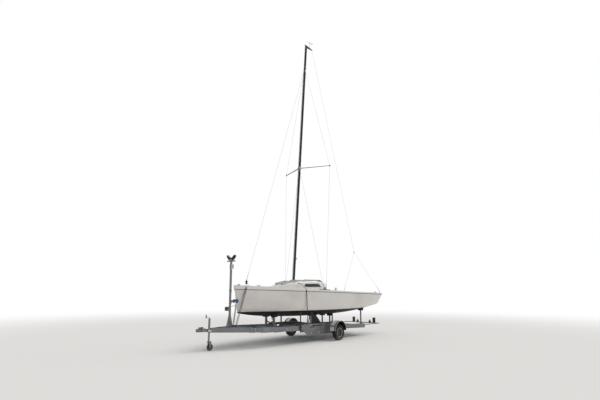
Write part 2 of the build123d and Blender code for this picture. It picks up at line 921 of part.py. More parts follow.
with BuildPart() as cap_shrouds_lower:
    for side in (-1, 1):
        round_bar((x_at(chainplate_ahead), side * chainplate_y, chainplate_top), tips[side], stay_radius)
    add(cap_shrouds_upper.part, mode=Mode.SUBTRACT)
    add(spreaders.part, mode=Mode.SUBTRACT)
    add(chainplates.part, mode=Mode.SUBTRACT)
export(cap_shrouds_lower, "cap_shrouds_lower")

lower_shroud_z = spreader_z - lower_shroud_drop
with BuildPart() as lower_shrouds:
    for side in (-1, 1):
        round_bar((x_at(lower_plate_ahead), side * lower_plate_y, chainplate_top),
                  (x_at(mast_ahead(lower_shroud_z)), side * mast_width / 2, lower_shroud_z), stay_radius)
    add(mast_form.part, mode=Mode.SUBTRACT)
    add(chainplates.part, mode=Mode.SUBTRACT)
export(lower_shrouds, "lower_shrouds")

crane_tip = crane_plane.from_local_coords((crane_reach - crane_half, crane_end_low + shaft_gap, 0))
bridle_point = (x_at(bridle_ahead), 0, bridle_z)
with BuildPart() as backstay:
    round_bar(bridle_point, tuple(crane_tip), stay_radius)
    add(masthead_crane.part, mode=Mode.SUBTRACT)
export(backstay, "backstay")

with BuildPart() as backstay_bridle:
    for side in (-1, 1):
        round_bar((x_at(quarter_place), side * quarter_y, quarter_top - shaft_gap), bridle_point, stay_radius)
    add(backstay.part, mode=Mode.SUBTRACT)
    add(chainplates.part, mode=Mode.SUBTRACT)
export(backstay_bridle, "backstay_bridle")

# Deck gear: sheet winches, jib tracks, mainsheet traveller and rudder gudgeons
with BuildPart() as winches:
    for side in (-1, 1):
        turned_form([(radius, sheet_winch_foot + z) for radius, z in sheet_winch_profile],
                    sheet_winch_ahead, side * sheet_winch_y)
    add(envelope.part, mode=Mode.SUBTRACT)
export(winches, "winches")

with BuildPart() as tracks:
    for side in (-1, 1):
        block(jib_track_rear, jib_track_front, side * jib_track_y - jib_track_half,
              side * jib_track_y + jib_track_half, jib_track_low, over_roof)
    side_form([*jib_track_top, (jib_track_top[1][0], under_hull), (jib_track_top[0][0], under_hull)],
              -midship_half_beam, midship_half_beam, mode=Mode.INTERSECT)
    add(envelope.part, mode=Mode.SUBTRACT)
    block(traveller_ahead - traveller_half, traveller_ahead + traveller_half, -well_half, well_half,
          sole_z + traveller_lift, sole_z + traveller_lift + traveller_thick)
    for side in (-1, 0, 1):
        y = side * (well_half - traveller_foot_inset)
        block(traveller_ahead - traveller_foot, traveller_ahead + traveller_foot, y - traveller_foot,
              y + traveller_foot, sole_z, sole_z + traveller_lift)
export(tracks, "tracks")

with BuildPart() as gudgeons:
    for z in gudgeon_heights:
        block(transom_ahead - gudgeon_reach, transom_ahead, -gudgeon_half, gudgeon_half,
              z - gudgeon_half_height, z + gudgeon_half_height)
        fillet(edges().filter_by(Axis.Z).group_by(Axis.X)[-1], radius=gudgeon_corner)
        upright_bar(transom_ahead - gudgeon_pin, 0, z - gudgeon_half_height, z + gudgeon_half_height,
                    gudgeon_bore, mode=Mode.SUBTRACT)
export(gudgeons, "gudgeons")


# Trailer frame: channel rails with their open side inwards, deep side plates and box crossbeams
def rail_outline(inset):
    return [
        (rail_front, frame_top(rail_front) - inset),
        (rail_rear, frame_top(rail_rear) - inset),
        (rail_rear, frame_top(rail_rear) - rail_depth + inset),
        (rail_front, frame_top(rail_front) - rail_depth + inset),
    ]


# The lightening slot runs through the side plate and the rail behind it
def cut_slot():
    with BuildSketch(Plane.XZ.offset(rail_inner)) as slot:
        with Locations((x_at(plate_slot[0]), plate_slot[1])):
            SlotOverall(plate_slot_length, plate_slot_height)
    extrude(slot.sketch, amount=rail_flange + side_plate_thick, mode=Mode.SUBTRACT)


with BuildPart() as side_rails:
    side_form(rail_outline(0), -rail_outer, -rail_inner)
    side_form(rail_outline(rail_plate), -web_inner, -rail_inner, mode=Mode.SUBTRACT)
    cut_slot()
    mirror(about=Plane.XZ)
export(side_rails, "side_rails")

with BuildPart() as side_plates:
    side_form(side_plate_outline, -rail_outer - side_plate_thick, -rail_outer, corner=side_plate_corner)
    cut_slot()
    for ahead, z in plate_holes:
        cross_bar(ahead, z, -rail_outer - side_plate_thick, -rail_outer, plate_hole_radius,
                  mode=Mode.SUBTRACT)
    axle_hole = axle_side / 2 + seat_gap
    block(arm_ahead - axle_hole, arm_ahead + axle_hole, -rail_outer - side_plate_thick, -rail_outer,
          arm_z - axle_hole, arm_z + axle_hole, mode=Mode.SUBTRACT)
    mirror(about=Plane.XZ)
export(side_plates, "side_plates")

# Drawbar: two converging legs and a centre beam under one coupling head
leg_ends = [(drawbar_apex - leg_overlap, drawbar_side / 2), (drawbar_apex + leg_overlap, drawbar_side / 2)]
with BuildPart() as drawbar_legs:
    for side in (-1, 1):
        plan_form([(rail_front, side * rail_outer), (rail_front, side * (rail_outer - leg_breadth)),
                   *[(ahead, side * y) for ahead, y in leg_ends]], 0, over_roof)
    leg_tip = drawbar_apex + 2 * leg_overlap
    side_form([(rail_front, frame_top(rail_front) - rail_depth + leg_inset),
               (rail_front, frame_top(rail_front) - leg_inset),
               (leg_tip, frame_top(leg_tip) - leg_inset),
               (leg_tip, frame_top(leg_tip) - rail_depth + leg_inset)],
              -rail_outer, rail_outer, mode=Mode.INTERSECT)
export(drawbar_legs, "drawbar_legs")

nose_z = frame_middle(drawbar_nose)
drawbar_root = crossbeam_places[0] + beam_side / 2
with BuildPart() as drawbar:
    side_form([(drawbar_root, frame_middle(drawbar_root) - drawbar_side / 2),
               (drawbar_root, frame_middle(drawbar_root) + drawbar_side / 2),
               (drawbar_nose, nose_z + drawbar_side / 2),
               (drawbar_nose, nose_z - drawbar_side / 2)], -drawbar_side / 2, drawbar_side / 2)
export(drawbar, "drawbar")

# Crossbeams from rail to rail, and a flat plate between the drawbar legs that carries the bow post
with BuildPart() as crossbeams:
    for place in crossbeam_places:
        block(place - beam_side / 2, place + beam_side / 2, -web_inner, web_inner,
              frame_middle(place) - beam_side / 2, frame_middle(place) + beam_side / 2)

plate_ends = (post_ahead - 2 * post_plate_half, post_ahead + 2 * post_plate_half)
with BuildPart() as post_plate:
    block(post_ahead - post_plate_half, post_ahead + post_plate_half, -rail_outer, rail_outer, 0, over_roof)
    side_form([*[(ahead, frame_top(ahead) - leg_inset) for ahead in plate_ends],
               *[(ahead, frame_top(ahead) - post_plate_low) for ahead in reversed(plate_ends)]],
              -rail_outer, rail_outer, mode=Mode.INTERSECT)
    plan_form([(rail_front, leg_breadth - rail_outer), (leg_ends[0][0], -leg_ends[0][1]), leg_ends[0],
               (rail_front, rail_outer - leg_breadth)], 0, over_roof, mode=Mode.INTERSECT)
    add(drawbar.part, mode=Mode.SUBTRACT)

with BuildPart() as beams:
    add(crossbeams.part)
    add(post_plate.part)
export(beams, "crossbeams")

with BuildPart() as coupling_head:
    head_top = nose_z + drawbar_side / 2
    plan_form([(drawbar_nose - head_overlap, -head_half), (drawbar_nose + head_shoulder, -head_half),
               (drawbar_nose + head_neck, -nose_half), (coupling_nose, -nose_half),
               (coupling_nose, nose_half), (drawbar_nose + head_neck, nose_half),
               (drawbar_nose + head_shoulder, head_half), (drawbar_nose - head_overlap, head_half)],
              head_top, head_top + head_plate)
    block(drawbar_nose + side_gap, coupling_nose, -nose_half, nose_half, nose_z - head_drop, head_top)
    with Locations((x_at(coupling_nose - ball_back), 0, nose_z - head_drop)):
        Sphere(ball_radius, mode=Mode.SUBTRACT)
    block(drawbar_nose - 2 * nose_half, drawbar_nose + 3 * nose_half, -lever_half, lever_half,
          head_top + head_plate, head_top + head_plate + lever_height)
export(coupling_head, "coupling_head")

# Running gear
with BuildPart() as axle_beam:
    block(arm_ahead - axle_side / 2, arm_ahead + axle_side / 2, -axle_end, axle_end,
          arm_z - axle_side / 2, arm_z + axle_side / 2)
export(axle_beam, "axle_beam")

# A trailing arm swings from each end of the axle beam, with the wheel's stub axle at its lower end
hub_inner = axle_end + arm_thick + side_gap
arm_eye = arm_corner + stub_radius
arm_root = axle_side / 2 + arm_corner / 2
with BuildPart() as trailing_arms:
    side_form([(arm_ahead + arm_root, arm_z - arm_root), (arm_ahead + arm_root, arm_z + arm_root),
               (arm_ahead - arm_root, arm_z + arm_root), (-arm_eye, wheel_z + arm_eye),
               (-arm_eye, wheel_z - arm_eye), (arm_corner, wheel_z - arm_eye)],
              -axle_end - arm_thick, -axle_end, corner=arm_corner)
    cross_bar(0, wheel_z, stub_short - hub_inner - hub_length, -axle_end - arm_thick, stub_radius)
    mirror(about=Plane.XZ)
export(trailing_arms, "trailing_arms")

# Places across the wheel: its middle, the disc's face on the hub, and the rim's two edges
wheel_y = track / 2
disc_y = hub_inner + hub_length - hub_cap
hub_outer = hub_inner + hub_length
rim_in, rim_out = wheel_y - rim_width / 2, wheel_y + rim_width / 2
well_radius = rim_radius - rim_well
seat_radius = rim_radius - rim_plate + 1


# An outline of places across and radii, turned about the wheel's axis
def wheel_form(points, side):
    view = Plane(origin=(x_at(0), 0, wheel_z), x_dir=(0, side, 0), z_dir=(1, 0, 0))
    with BuildSketch(view) as outline:
        with BuildLine():
            Polyline(*points, close=True)
        make_face()
    revolve(outline.sketch, axis=Axis((x_at(0), 0, wheel_z), (0, 1, 0)))


for side, name in ((-1, "port"), (1, "starboard")):
    # Hub with its brake drum, its flange for the disc and its grease cap
    with BuildPart() as hub:
        wheel_form([(hub_inner, stub_radius + shaft_gap), (hub_inner, drum_radius),
                    (hub_inner + drum_length, drum_radius), (hub_inner + drum_length + 6, hub_barrel),
                    (disc_y - hub_flange, hub_barrel), (disc_y - hub_flange, hub_flange_radius),
                    (disc_y, hub_flange_radius), (disc_y, hub_pilot), (hub_outer, hub_pilot - 3),
                    (hub_outer, 0), (hub_outer - hub_floor, 0),
                    (hub_outer - hub_floor, stub_radius + shaft_gap)], side)
    export(hub, f"hub_{name}")

    # Rim with its flanges, bead seats and well, and a dished disc with slots
    with BuildPart() as rim:
        wheel_form([(rim_in, rim_radius + rim_flange), (rim_in + rim_plate, rim_radius + rim_flange),
                    (rim_in + rim_plate, rim_radius), (rim_in + 30, seat_radius),
                    (rim_in + 40, well_radius), (rim_out - 40, well_radius),
                    (rim_out - 30, seat_radius), (rim_out - rim_plate, rim_radius),
                    (rim_out - rim_plate, rim_radius + rim_flange), (rim_out, rim_radius + rim_flange),
                    (rim_out, rim_radius - rim_plate), (rim_out - 26, seat_radius - rim_plate),
                    (rim_out - 36, well_radius - rim_plate), (rim_in + 36, well_radius - rim_plate),
                    (rim_in + 26, seat_radius - rim_plate), (rim_in, rim_radius - rim_plate)], side)
        wheel_form([(disc_y, hub_pilot + 0.5), (disc_y, 75), (disc_y + 18, 93), (disc_y + 18, 100),
                    (disc_y + 9, well_radius - 3), (disc_y + 16, well_radius - 3), (disc_y + 24, 101),
                    (disc_y + 24, 90), (disc_y + rim_plate, 72), (disc_y + rim_plate, hub_pilot + 0.5)], side)
        face = Plane(origin=(x_at(0), side * disc_y, wheel_z), x_dir=(1, 0, 0), z_dir=(0, side, 0))
        with BuildSketch(face):
            with PolarLocations(well_radius - rim_plate - slot_height - 3, rim_slots):
                SlotOverall(slot_length, slot_height, rotation=90)
        extrude(amount=hub_cap, mode=Mode.SUBTRACT)
    export(rim, f"rim_{name}")

    # Tyre casing with rounded sidewalls, its beads on the rim's seats
    with BuildPart() as tyre:
        tyre_in, tyre_out = wheel_y - tyre_width / 2, wheel_y + tyre_width / 2
        tread = tyre_radius - tread_drop
        bead = rim_radius + bead_rise
        flange_top = rim_radius + rim_flange + seat_gap
        with BuildSketch(Plane(origin=(x_at(0), 0, wheel_z), x_dir=(0, side, 0), z_dir=(1, 0, 0))):
            with BuildLine():
                Line((tyre_in + tyre_shoulder, flange_top), (tyre_in + tyre_bulge, bead))
                ThreePointArc((tyre_in + tyre_bulge, bead), (tyre_in, (bead + tread) / 2),
                              (tyre_in + tyre_bulge, tread))
                Polyline((tyre_in + tyre_bulge, tread), (tyre_in + tyre_shoulder, tyre_radius),
                         (tyre_out - tyre_shoulder, tyre_radius), (tyre_out - tyre_bulge, tread))
                ThreePointArc((tyre_out - tyre_bulge, tread), (tyre_out, (bead + tread) / 2),
                              (tyre_out - tyre_bulge, bead))
                Polyline((tyre_out - tyre_bulge, bead), (tyre_out - tyre_shoulder, flange_top),
                         (rim_out - rim_plate - 1, flange_top), (rim_out - rim_plate - 1, rim_radius - 1),
                         (rim_out - 28, seat_radius), (rim_out - 32, rim_radius + rim_flange),
                         (rim_in + 32, rim_radius + rim_flange), (rim_in + 28, seat_radius),
                         (rim_in + rim_plate + 1, rim_radius - 1), (rim_in + rim_plate + 1, flange_top),
                         (tyre_in + tyre_shoulder, flange_top))
            make_face()
        revolve(axis=Axis((x_at(0), 0, wheel_z), (0, 1, 0)))
        add(rim.part, mode=Mode.SUBTRACT)
    export(tyre, f"tyre_{name}")

# Each mudguard is an arched plate with a turned-in lip along both edges
lip_radius = guard_radius - guard_lip
with BuildPart() as mudguards:
    cross_bar(0, guard_z, -guard_start - guard_width, -guard_start, guard_radius + guard_plate)
    cross_bar(0, guard_z, -guard_start - guard_width, -guard_start, lip_radius, mode=Mode.SUBTRACT)
    cross_bar(0, guard_z, guard_plate - guard_start - guard_width, -guard_start - guard_plate, guard_radius,
              mode=Mode.SUBTRACT)
    block(-2 * guard_radius, 2 * guard_radius, -guard_start - guard_width, -guard_start, -guard_radius,
          guard_foot, mode=Mode.SUBTRACT)
    mirror(about=Plane.XZ)
export(mudguards, "mudguards")

# Flat stays carry the mudguards from the side plates
with BuildPart() as mudguard_stays:
    for angle in stay_angles:
        radial = Vector(cos(radians(angle)), 0, sin(radians(angle)))
        seat = radial * (guard_radius + guard_plate + stay_plate / 2)
        root = Vector(x_at(0), -rail_outer - side_plate_thick, guard_z) + seat
        with BuildSketch(Plane(origin=root, x_dir=radial, z_dir=(0, -1, 0))):
            Rectangle(stay_plate, stay_breadth)
        extrude(amount=guard_start + guard_width - stay_short - rail_outer - side_plate_thick)
    mirror(about=Plane.XZ)
export(mudguard_stays, "mudguard_stays")

# Bow post with braces, mast crutch, padded chock and winch
post_foot = frame_top(post_ahead) - leg_inset
post_aft, post_front = post_ahead - post_side / 2, post_ahead + post_side / 2
stem_at_chock = stem_ahead - tan(radians(stem_rake)) * (stem_sheer - chock_z)
with BuildPart() as bow_post:
    block(post_aft, post_front, -post_side / 2, post_side / 2, post_foot - brace_half, post_top)
    for end in (-brace_reach, brace_reach):
        side_form([(post_ahead + end - brace_half, post_foot - brace_half),
                   (post_ahead + end + brace_half, post_foot - brace_half),
                   (post_ahead + brace_half, brace_join), (post_ahead - brace_half, brace_join)],
                  -brace_half, brace_half)
    side_form([*[(ahead, frame_top(ahead) - leg_inset) for ahead in plate_ends],
               (plate_ends[1], 0), (plate_ends[0], 0)], -post_side, post_side, mode=Mode.SUBTRACT)
    block(stem_at_chock + chock_half, post_aft, -chock_arm_half, chock_arm_half, chock_z - chock_arm_half,
          chock_z + chock_arm_half)
export(bow_post, "bow_post")

# The crutch's two horns rise from a cross plate on the post
horn_foot, horn_top = post_top + crutch_foot, post_top + crutch_rise
with BuildPart() as mast_crutch:
    block(post_ahead - crutch_depth, post_ahead + crutch_depth, -crutch_half, crutch_half, post_top,
          horn_foot)
    for side in (-1, 1):
        with BuildSketch(Plane.YZ.offset(x_at(post_ahead))):
            with BuildLine():
                Polyline((side * lever_half, horn_foot), (side * (lever_half + horn_width), horn_foot),
                         (side * crutch_spread, horn_top), (side * (crutch_spread - horn_width), horn_top),
                         (side * lever_half, horn_foot + crutch_valley), close=True)
            make_face()
        extrude(amount=crutch_depth, both=True)
export(mast_crutch, "mast_crutch")

with BuildPart() as bow_chock:
    block(stem_at_chock - chock_aft, stem_at_chock + chock_half, -chock_width / 2, chock_width / 2,
          chock_z - chock_half, chock_z + chock_half)
    fillet(edges().filter_by(Axis.Y), radius=chock_corner)
    add(envelope.part, mode=Mode.SUBTRACT)
export(bow_chock, "bow_chock")

# The winch's drum turns between two cheeks in front of the post, with its crank to port
with BuildPart() as winch:
    axis_ahead = post_front + winch_axis
    shaft_end = -winch_half - winch_shaft_end / 2
    for side in (-1, 1):
        block(post_front, post_front + winch_reach, side * winch_half - winch_plate / 2,
              side * winch_half + winch_plate / 2, winch_z - winch_half, winch_z + winch_half)
    block(post_front, post_front + winch_plate, -winch_half, winch_half, winch_z - winch_half,
          winch_z + winch_half)
    cross_bar(axis_ahead, winch_z, -winch_half, winch_half, winch_drum)
    cross_bar(axis_ahead, winch_z, shaft_end, -winch_half, winch_shaft)
    block(axis_ahead - crank_width / 2, axis_ahead + crank_width / 2, shaft_end, shaft_end + crank_thick,
          winch_z - crank_boss, winch_z + crank_length)
    cross_bar(axis_ahead, winch_z + crank_length - crank_grip, shaft_end - crank_grip_length, shaft_end,
              crank_grip)
export(winch, "winch")

# Hull supports: pairs of posts on the crossbeams and the keel trough, each with a shaped pad.
# ahead, y, hull_z, foot
support_rows = [
    (2220, 200, 890, frame_middle(2220) + beam_side / 2),
    (980, 700, 905, frame_middle(980) + beam_side / 2),
    (-720, trough_post_y, 820, trough_z),
    (-2000, 700, 985, frame_middle(-2000) + beam_side / 2),
]
with BuildPart() as support_pads:
    for ahead, y, hull_z, _ in support_rows:
        for side in (-1, 1):
            block(ahead - pad_length / 2, ahead + pad_length / 2, side * y - pad_width / 2,
                  side * y + pad_width / 2, hull_z - pad_height - pad_seat, hull_z + pad_reach)
    add(envelope.part, mode=Mode.SUBTRACT)
export(support_pads, "support_pads")

with BuildPart() as support_posts:
    for ahead, y, hull_z, foot in support_rows:
        for side in (-1, 1):
            block(ahead - support_side / 2, ahead + support_side / 2, side * y - support_side / 2,
                  side * y + support_side / 2, foot, hull_z - pad_height - pad_seat)
export(support_posts, "support_posts")

# Keel trough hung between two crossbeams, with saddles under the bulb
with BuildPart() as keel_trough:
    block(trough_rear, trough_front, -trough_half, trough_half, trough_z, trough_z + trough_side)
    block(trough_rear, trough_front, trough_plate - trough_half, trough_half - trough_plate,
          trough_z + trough_plate, trough_z + trough_side, mode=Mode.SUBTRACT)
    front_beam, rear_beam = crossbeam_places[3:5]
    hanger_low = trough_z - hanger_drop
    for side in (-1, 1):
        y_low, y_high = sorted((side * trough_half, side * (trough_half + hanger_thick)))
        for beam in (front_beam, rear_beam):
            block(beam - hanger_half, beam + hanger_half, y_low, y_high, hanger_low,
                  frame_middle(beam) - beam_side / 2)
        block(trough_front - hanger_lap, front_beam + hanger_half, y_low, y_high, hanger_low,
              trough_z + hanger_height)
        block(rear_beam - hanger_half, trough_rear + hanger_lap, y_low, y_high, hanger_low,
              trough_z + hanger_height)
export(keel_trough, "keel_trough")

with BuildPart() as keel_saddles:
    for ahead in saddle_places:
        block(ahead - saddle_length / 2, ahead + saddle_length / 2, saddle_inset - trough_half,
              trough_half - saddle_inset, trough_z + trough_plate, bulb_z - saddle_inset)
    add(keel_bulb.part, mode=Mode.SUBTRACT)
export(keel_saddles, "keel_saddles")

# Light bar: two arms from the last crossbeam, a cross tube and an upright lamp housing at each end
lamp_front = lamp_depth - lamp_aft
arm_out = web_inner - light_arm_inset + light_bar_side / 2
with BuildPart() as light_bar:
    bar_low, bar_high = light_bar_z - light_bar_side / 2, light_bar_z + light_bar_side / 2
    block(lamp_front, lamp_front + light_bar_side, -arm_out, arm_out, bar_low, bar_high)
    for side in (-1, 1):
        y_low, y_high = sorted((side * arm_out, side * (arm_out - light_bar_side)))
        block(lamp_front + light_bar_side, crossbeam_places[5] - beam_side / 2, y_low, y_high, bar_low,
              bar_high)
export(light_bar, "light_bar")

with BuildPart() as lamps:
    for side in (-1, 1):
        block(-lamp_aft, lamp_front, side * lamp_y - lamp_half, side * lamp_y + lamp_half, lamp_low, lamp_top)
    fillet(edges().filter_by(Axis.X), radius=lamp_corner)
export(lamps, "lamps")

# Jockey wheel: clamp tube on the drawbar, a leg that slides in it, a fork that swivels and a wheel
tube_bore = jockey_tube_radius - jockey_wall
with BuildPart() as jockey_tube:
    upright_bar(jockey_ahead, jockey_y, tube_low, tube_high + cap_thick, jockey_tube_radius)
    block(jockey_ahead - clamp_half, jockey_ahead + clamp_half, jockey_y, -drawbar_side / 2,
          frame_middle(jockey_ahead) - clamp_height, frame_middle(jockey_ahead) + clamp_height)
    upright_bar(jockey_ahead, jockey_y, tube_low, tube_high, tube_bore, mode=Mode.SUBTRACT)
    handle_low = tube_high + cap_thick + screw_height - handle_thick
    upright_bar(jockey_ahead, jockey_y, tube_high + cap_thick, handle_low + handle_thick, screw_radius)
    block(jockey_ahead, jockey_ahead + handle_reach, jockey_y - handle_half, jockey_y + handle_half,
          handle_low, handle_low + handle_thick)
export(jockey_tube, "jockey_tube")

with BuildPart() as jockey_leg:
    upright_bar(jockey_ahead, jockey_y, leg_foot, tube_high - jockey_travel - leg_guide,
                tube_bore - seat_gap)
export(jockey_leg, "jockey_leg")

caster_ahead = jockey_ahead - jockey_trail
fork_top = leg_foot - seat_gap
with BuildPart() as jockey_fork:
    block(caster_ahead - fork_reach, jockey_ahead + fork_front, jockey_y - fork_half,
          jockey_y + fork_half, fork_top - fork_crown, fork_top)
    for side in (-1, 1):
        y_low, y_high = sorted((jockey_y + side * fork_half, jockey_y + side * (fork_half - fork_plate)))
        side_form([(jockey_ahead + fork_front, fork_top - fork_crown),
                   (caster_ahead - fork_reach, fork_top - fork_crown),
                   (caster_ahead - fork_tip, fork_low), (caster_ahead + fork_tip, fork_low)],
                  y_low, y_high)
    cross_bar(caster_ahead, jockey_radius, jockey_y - fork_half, jockey_y + fork_half, jockey_axle)
export(jockey_fork, "jockey_fork")

# Caster wheel with a dished web on each side of its middle
half, bore = jockey_width / 2, jockey_axle + shaft_gap
caster_half = [(half, bore), (half, jockey_hub - 4), (half - jockey_dish, jockey_hub),
               (half - jockey_dish, jockey_groove), (half, jockey_groove + 4),
               (half, jockey_radius - jockey_shoulder), (half - jockey_shoulder, jockey_radius)]
with BuildPart() as jockey_wheel:
    with BuildSketch(Plane(origin=(x_at(caster_ahead), jockey_y, jockey_radius), x_dir=(0, 1, 0),
                           z_dir=(1, 0, 0))):
        with BuildLine():
            Polyline(*caster_half, *[(-y, radius) for y, radius in reversed(caster_half)], close=True)
        make_face()
    revolve(axis=Axis((x_at(caster_ahead), 0, jockey_radius), (0, 1, 0)))
export(jockey_wheel, "jockey_wheel")
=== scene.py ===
import json
import math

import bmesh
import bpy
from mathutils import Matrix, Vector
from mathutils.bvhtree import BVHTree
from mathutils.geometry import convex_hull_2d


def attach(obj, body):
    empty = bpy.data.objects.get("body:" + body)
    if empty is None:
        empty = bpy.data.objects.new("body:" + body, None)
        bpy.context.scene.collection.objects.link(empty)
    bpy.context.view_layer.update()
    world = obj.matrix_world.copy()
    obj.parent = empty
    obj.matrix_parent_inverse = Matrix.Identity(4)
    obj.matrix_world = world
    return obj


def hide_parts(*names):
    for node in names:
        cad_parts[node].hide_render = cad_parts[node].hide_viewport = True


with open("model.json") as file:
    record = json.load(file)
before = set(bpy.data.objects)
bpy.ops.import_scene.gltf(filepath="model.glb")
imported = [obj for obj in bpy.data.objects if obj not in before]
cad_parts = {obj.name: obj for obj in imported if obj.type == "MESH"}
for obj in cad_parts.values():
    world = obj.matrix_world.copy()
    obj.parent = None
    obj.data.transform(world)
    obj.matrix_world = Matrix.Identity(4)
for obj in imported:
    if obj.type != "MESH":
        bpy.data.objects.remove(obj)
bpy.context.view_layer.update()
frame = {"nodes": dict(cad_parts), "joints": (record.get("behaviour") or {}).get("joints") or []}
nodes = frame["nodes"]
jointPlaces = {joint["name"]: Vector(joint.get("pos_m", (0, 0, 0))) for joint in frame["joints"]}
axleX = jointPlaces["wheel_port_spin"].x
boat = "boat_and_trailer"
print("frame loaded:", len(nodes), "nodes")


# A place along the boat is given ahead of the wheels' centres, in metres
def xAt(ahead):
    return axleX - ahead


def addObject(name, data):
    made = bpy.data.objects.new(name, data)
    bpy.context.scene.collection.objects.link(made)
    return made


# A socket in plain arithmetic: each operation adds its Math node
class Value:
    def __init__(self, graph, socket):
        self.graph = graph
        self.socket = socket

    def maths(self, operation, *others):
        return self.graph.maths(operation, self, *others)

    def __add__(self, other):
        return self.maths("ADD", other)

    def __sub__(self, other):
        return self.maths("SUBTRACT", other)

    def __mul__(self, other):
        return self.maths("MULTIPLY", other)

    def __pow__(self, other):
        return self.maths("POWER", other)

    def __abs__(self):
        return self.maths("ABSOLUTE")

    def __radd__(self, other):
        return self.graph.maths("ADD", other, self)

    def __rsub__(self, other):
        return self.graph.maths("SUBTRACT", other, self)

    def below(self, edge, soft=0.0005):
        return self.graph.step(self, edge + soft, edge - soft)

    def above(self, edge, soft=0.0005):
        return self.graph.step(self, edge - soft, edge + soft)

    def most(self, other):
        return self.maths("MAXIMUM", other)


# A tree of nodes: each is added by its type, with its settings first and then its sockets
class Graph:
    def __init__(self, tree):
        self.tree = tree
        tree.nodes.clear()

    def node(self, kind, settings=None, inputs=None, output=0):
        made = self.tree.nodes.new(kind)
        for name, value in (settings or {}).items():
            setattr(made, name, value)
        for name, value in (inputs or {}).items():
            if isinstance(value, Value):
                self.tree.links.new(value.socket, made.inputs[name])
            else:
                made.inputs[name].default_value = value
        if isinstance(output, tuple):
            return tuple(Value(self, made.outputs[name]) for name in output)
        return Value(self, made.outputs[output])

    def maths(self, operation, *values):
        return self.node("ShaderNodeMath", {"operation": operation}, dict(enumerate(values)))

    # From 0 at the first place to 1 at the second
    def step(self, value, low, high):
        return self.node("ShaderNodeMapRange", {"interpolation_type": "SMOOTHSTEP"},
                         {"Value": value, "From Min": low, "From Max": high})


# One material
class Finish(Graph):
    def __init__(self, name):
        self.material = bpy.data.materials.new(name)
        self.material.use_nodes = True
        super().__init__(self.material.node_tree)
        self.place = self.node("ShaderNodeTexCoord", output="Object")
        self.x, self.y, self.z = self.node("ShaderNodeSeparateXYZ", inputs={0: self.place}, output=(0, 1, 2))

    def mix(self, factor, first, second):
        return self.node("ShaderNodeMix", {"data_type": "RGBA"},
                         {0: factor, 6: rgb(first), 7: rgb(second)}, output=2)

    def noise(self, scale, detail=4.0, rough=0.55, stretch=(1, 1, 1)):
        place = self.node("ShaderNodeVectorMath", {"operation": "MULTIPLY"}, {0: self.place, 1: stretch})
        return self.node("ShaderNodeTexNoise", None,
                         {"Vector": place, "Scale": scale, "Detail": detail, "Roughness": rough})

    # Patches where the noise is over a value, with soft edges
    def patches(self, scale, low, high, detail=6.0, rough=0.65, stretch=(1, 1, 1)):
        return self.step(self.noise(scale, detail, rough, stretch), low, high)

    # Distance from the wheels' axle, or from a line over it, at a given height
    def fromAxle(self, height):
        return self.maths("SQRT", (self.x - axleX) ** 2 + (self.z - height) ** 2)

    def cells(self, scale, output="Distance"):
        return self.node("ShaderNodeTexVoronoi", None, {"Vector": self.place, "Scale": scale}, output)

    def bump(self, height, strength, distance):
        return self.node("ShaderNodeBump", None,
                         {"Strength": strength, "Distance": distance, "Height": height}, "Normal")

    def surface(self, **sockets):
        names = {"colour": "Base Color", "roughness": "Roughness", "metallic": "Metallic",
                 "coat": "Coat Weight", "coatRoughness": "Coat Roughness", "normal": "Normal",
                 "transmission": "Transmission Weight", "ior": "IOR"}
        inputs = {names[name]: rgb(value) if name == "colour" else value for name, value in sockets.items()}
        shader = self.node("ShaderNodeBsdfPrincipled", None, inputs)
        self.node("ShaderNodeOutputMaterial", None, {"Surface": shader}, output=())
        return self.material


def rgb(value):
    return value if isinstance(value, Value) or len(value) == 4 else (*value, 1.0)


# Finishes, one function for each

paint = {
    "topsides": (0.81, 0.78, 0.745), "topsidesShade": (0.62, 0.59, 0.565), "bottomBlackAndShade": (0.004, 0.004, 0.005),
    "bottomScuff": (0.022, 0.023, 0.025), "waterline": 1.03, "seam": (0.06, 0.06, 0.065),
    "seamBow": 1.722, "seamStern": 1.530, "seamBowAhead": 3.768, "seamSternAhead": -3.162,
    "seamHalf": 0.006, "cockpitHalf": 0.66, "cockpitFore": 0.15, "axleHeight": 0.260, "rimEdge": 0.134,
    "archHeight": 0.350, "archEdge": 0.3025, "guardShadeEdge": 1.178,
}


# Height of the line where deck and hull join
def seamAt(ahead):
    slope = (paint["seamBow"] - paint["seamStern"]) / (paint["seamBowAhead"] - paint["seamSternAhead"])
    return paint["seamStern"] + (ahead - paint["seamSternAhead"]) * slope


def seamLine(finish):
    return abs(finish.z - seamAt(axleX - finish.x)).below(paint["seamHalf"], 0.001)


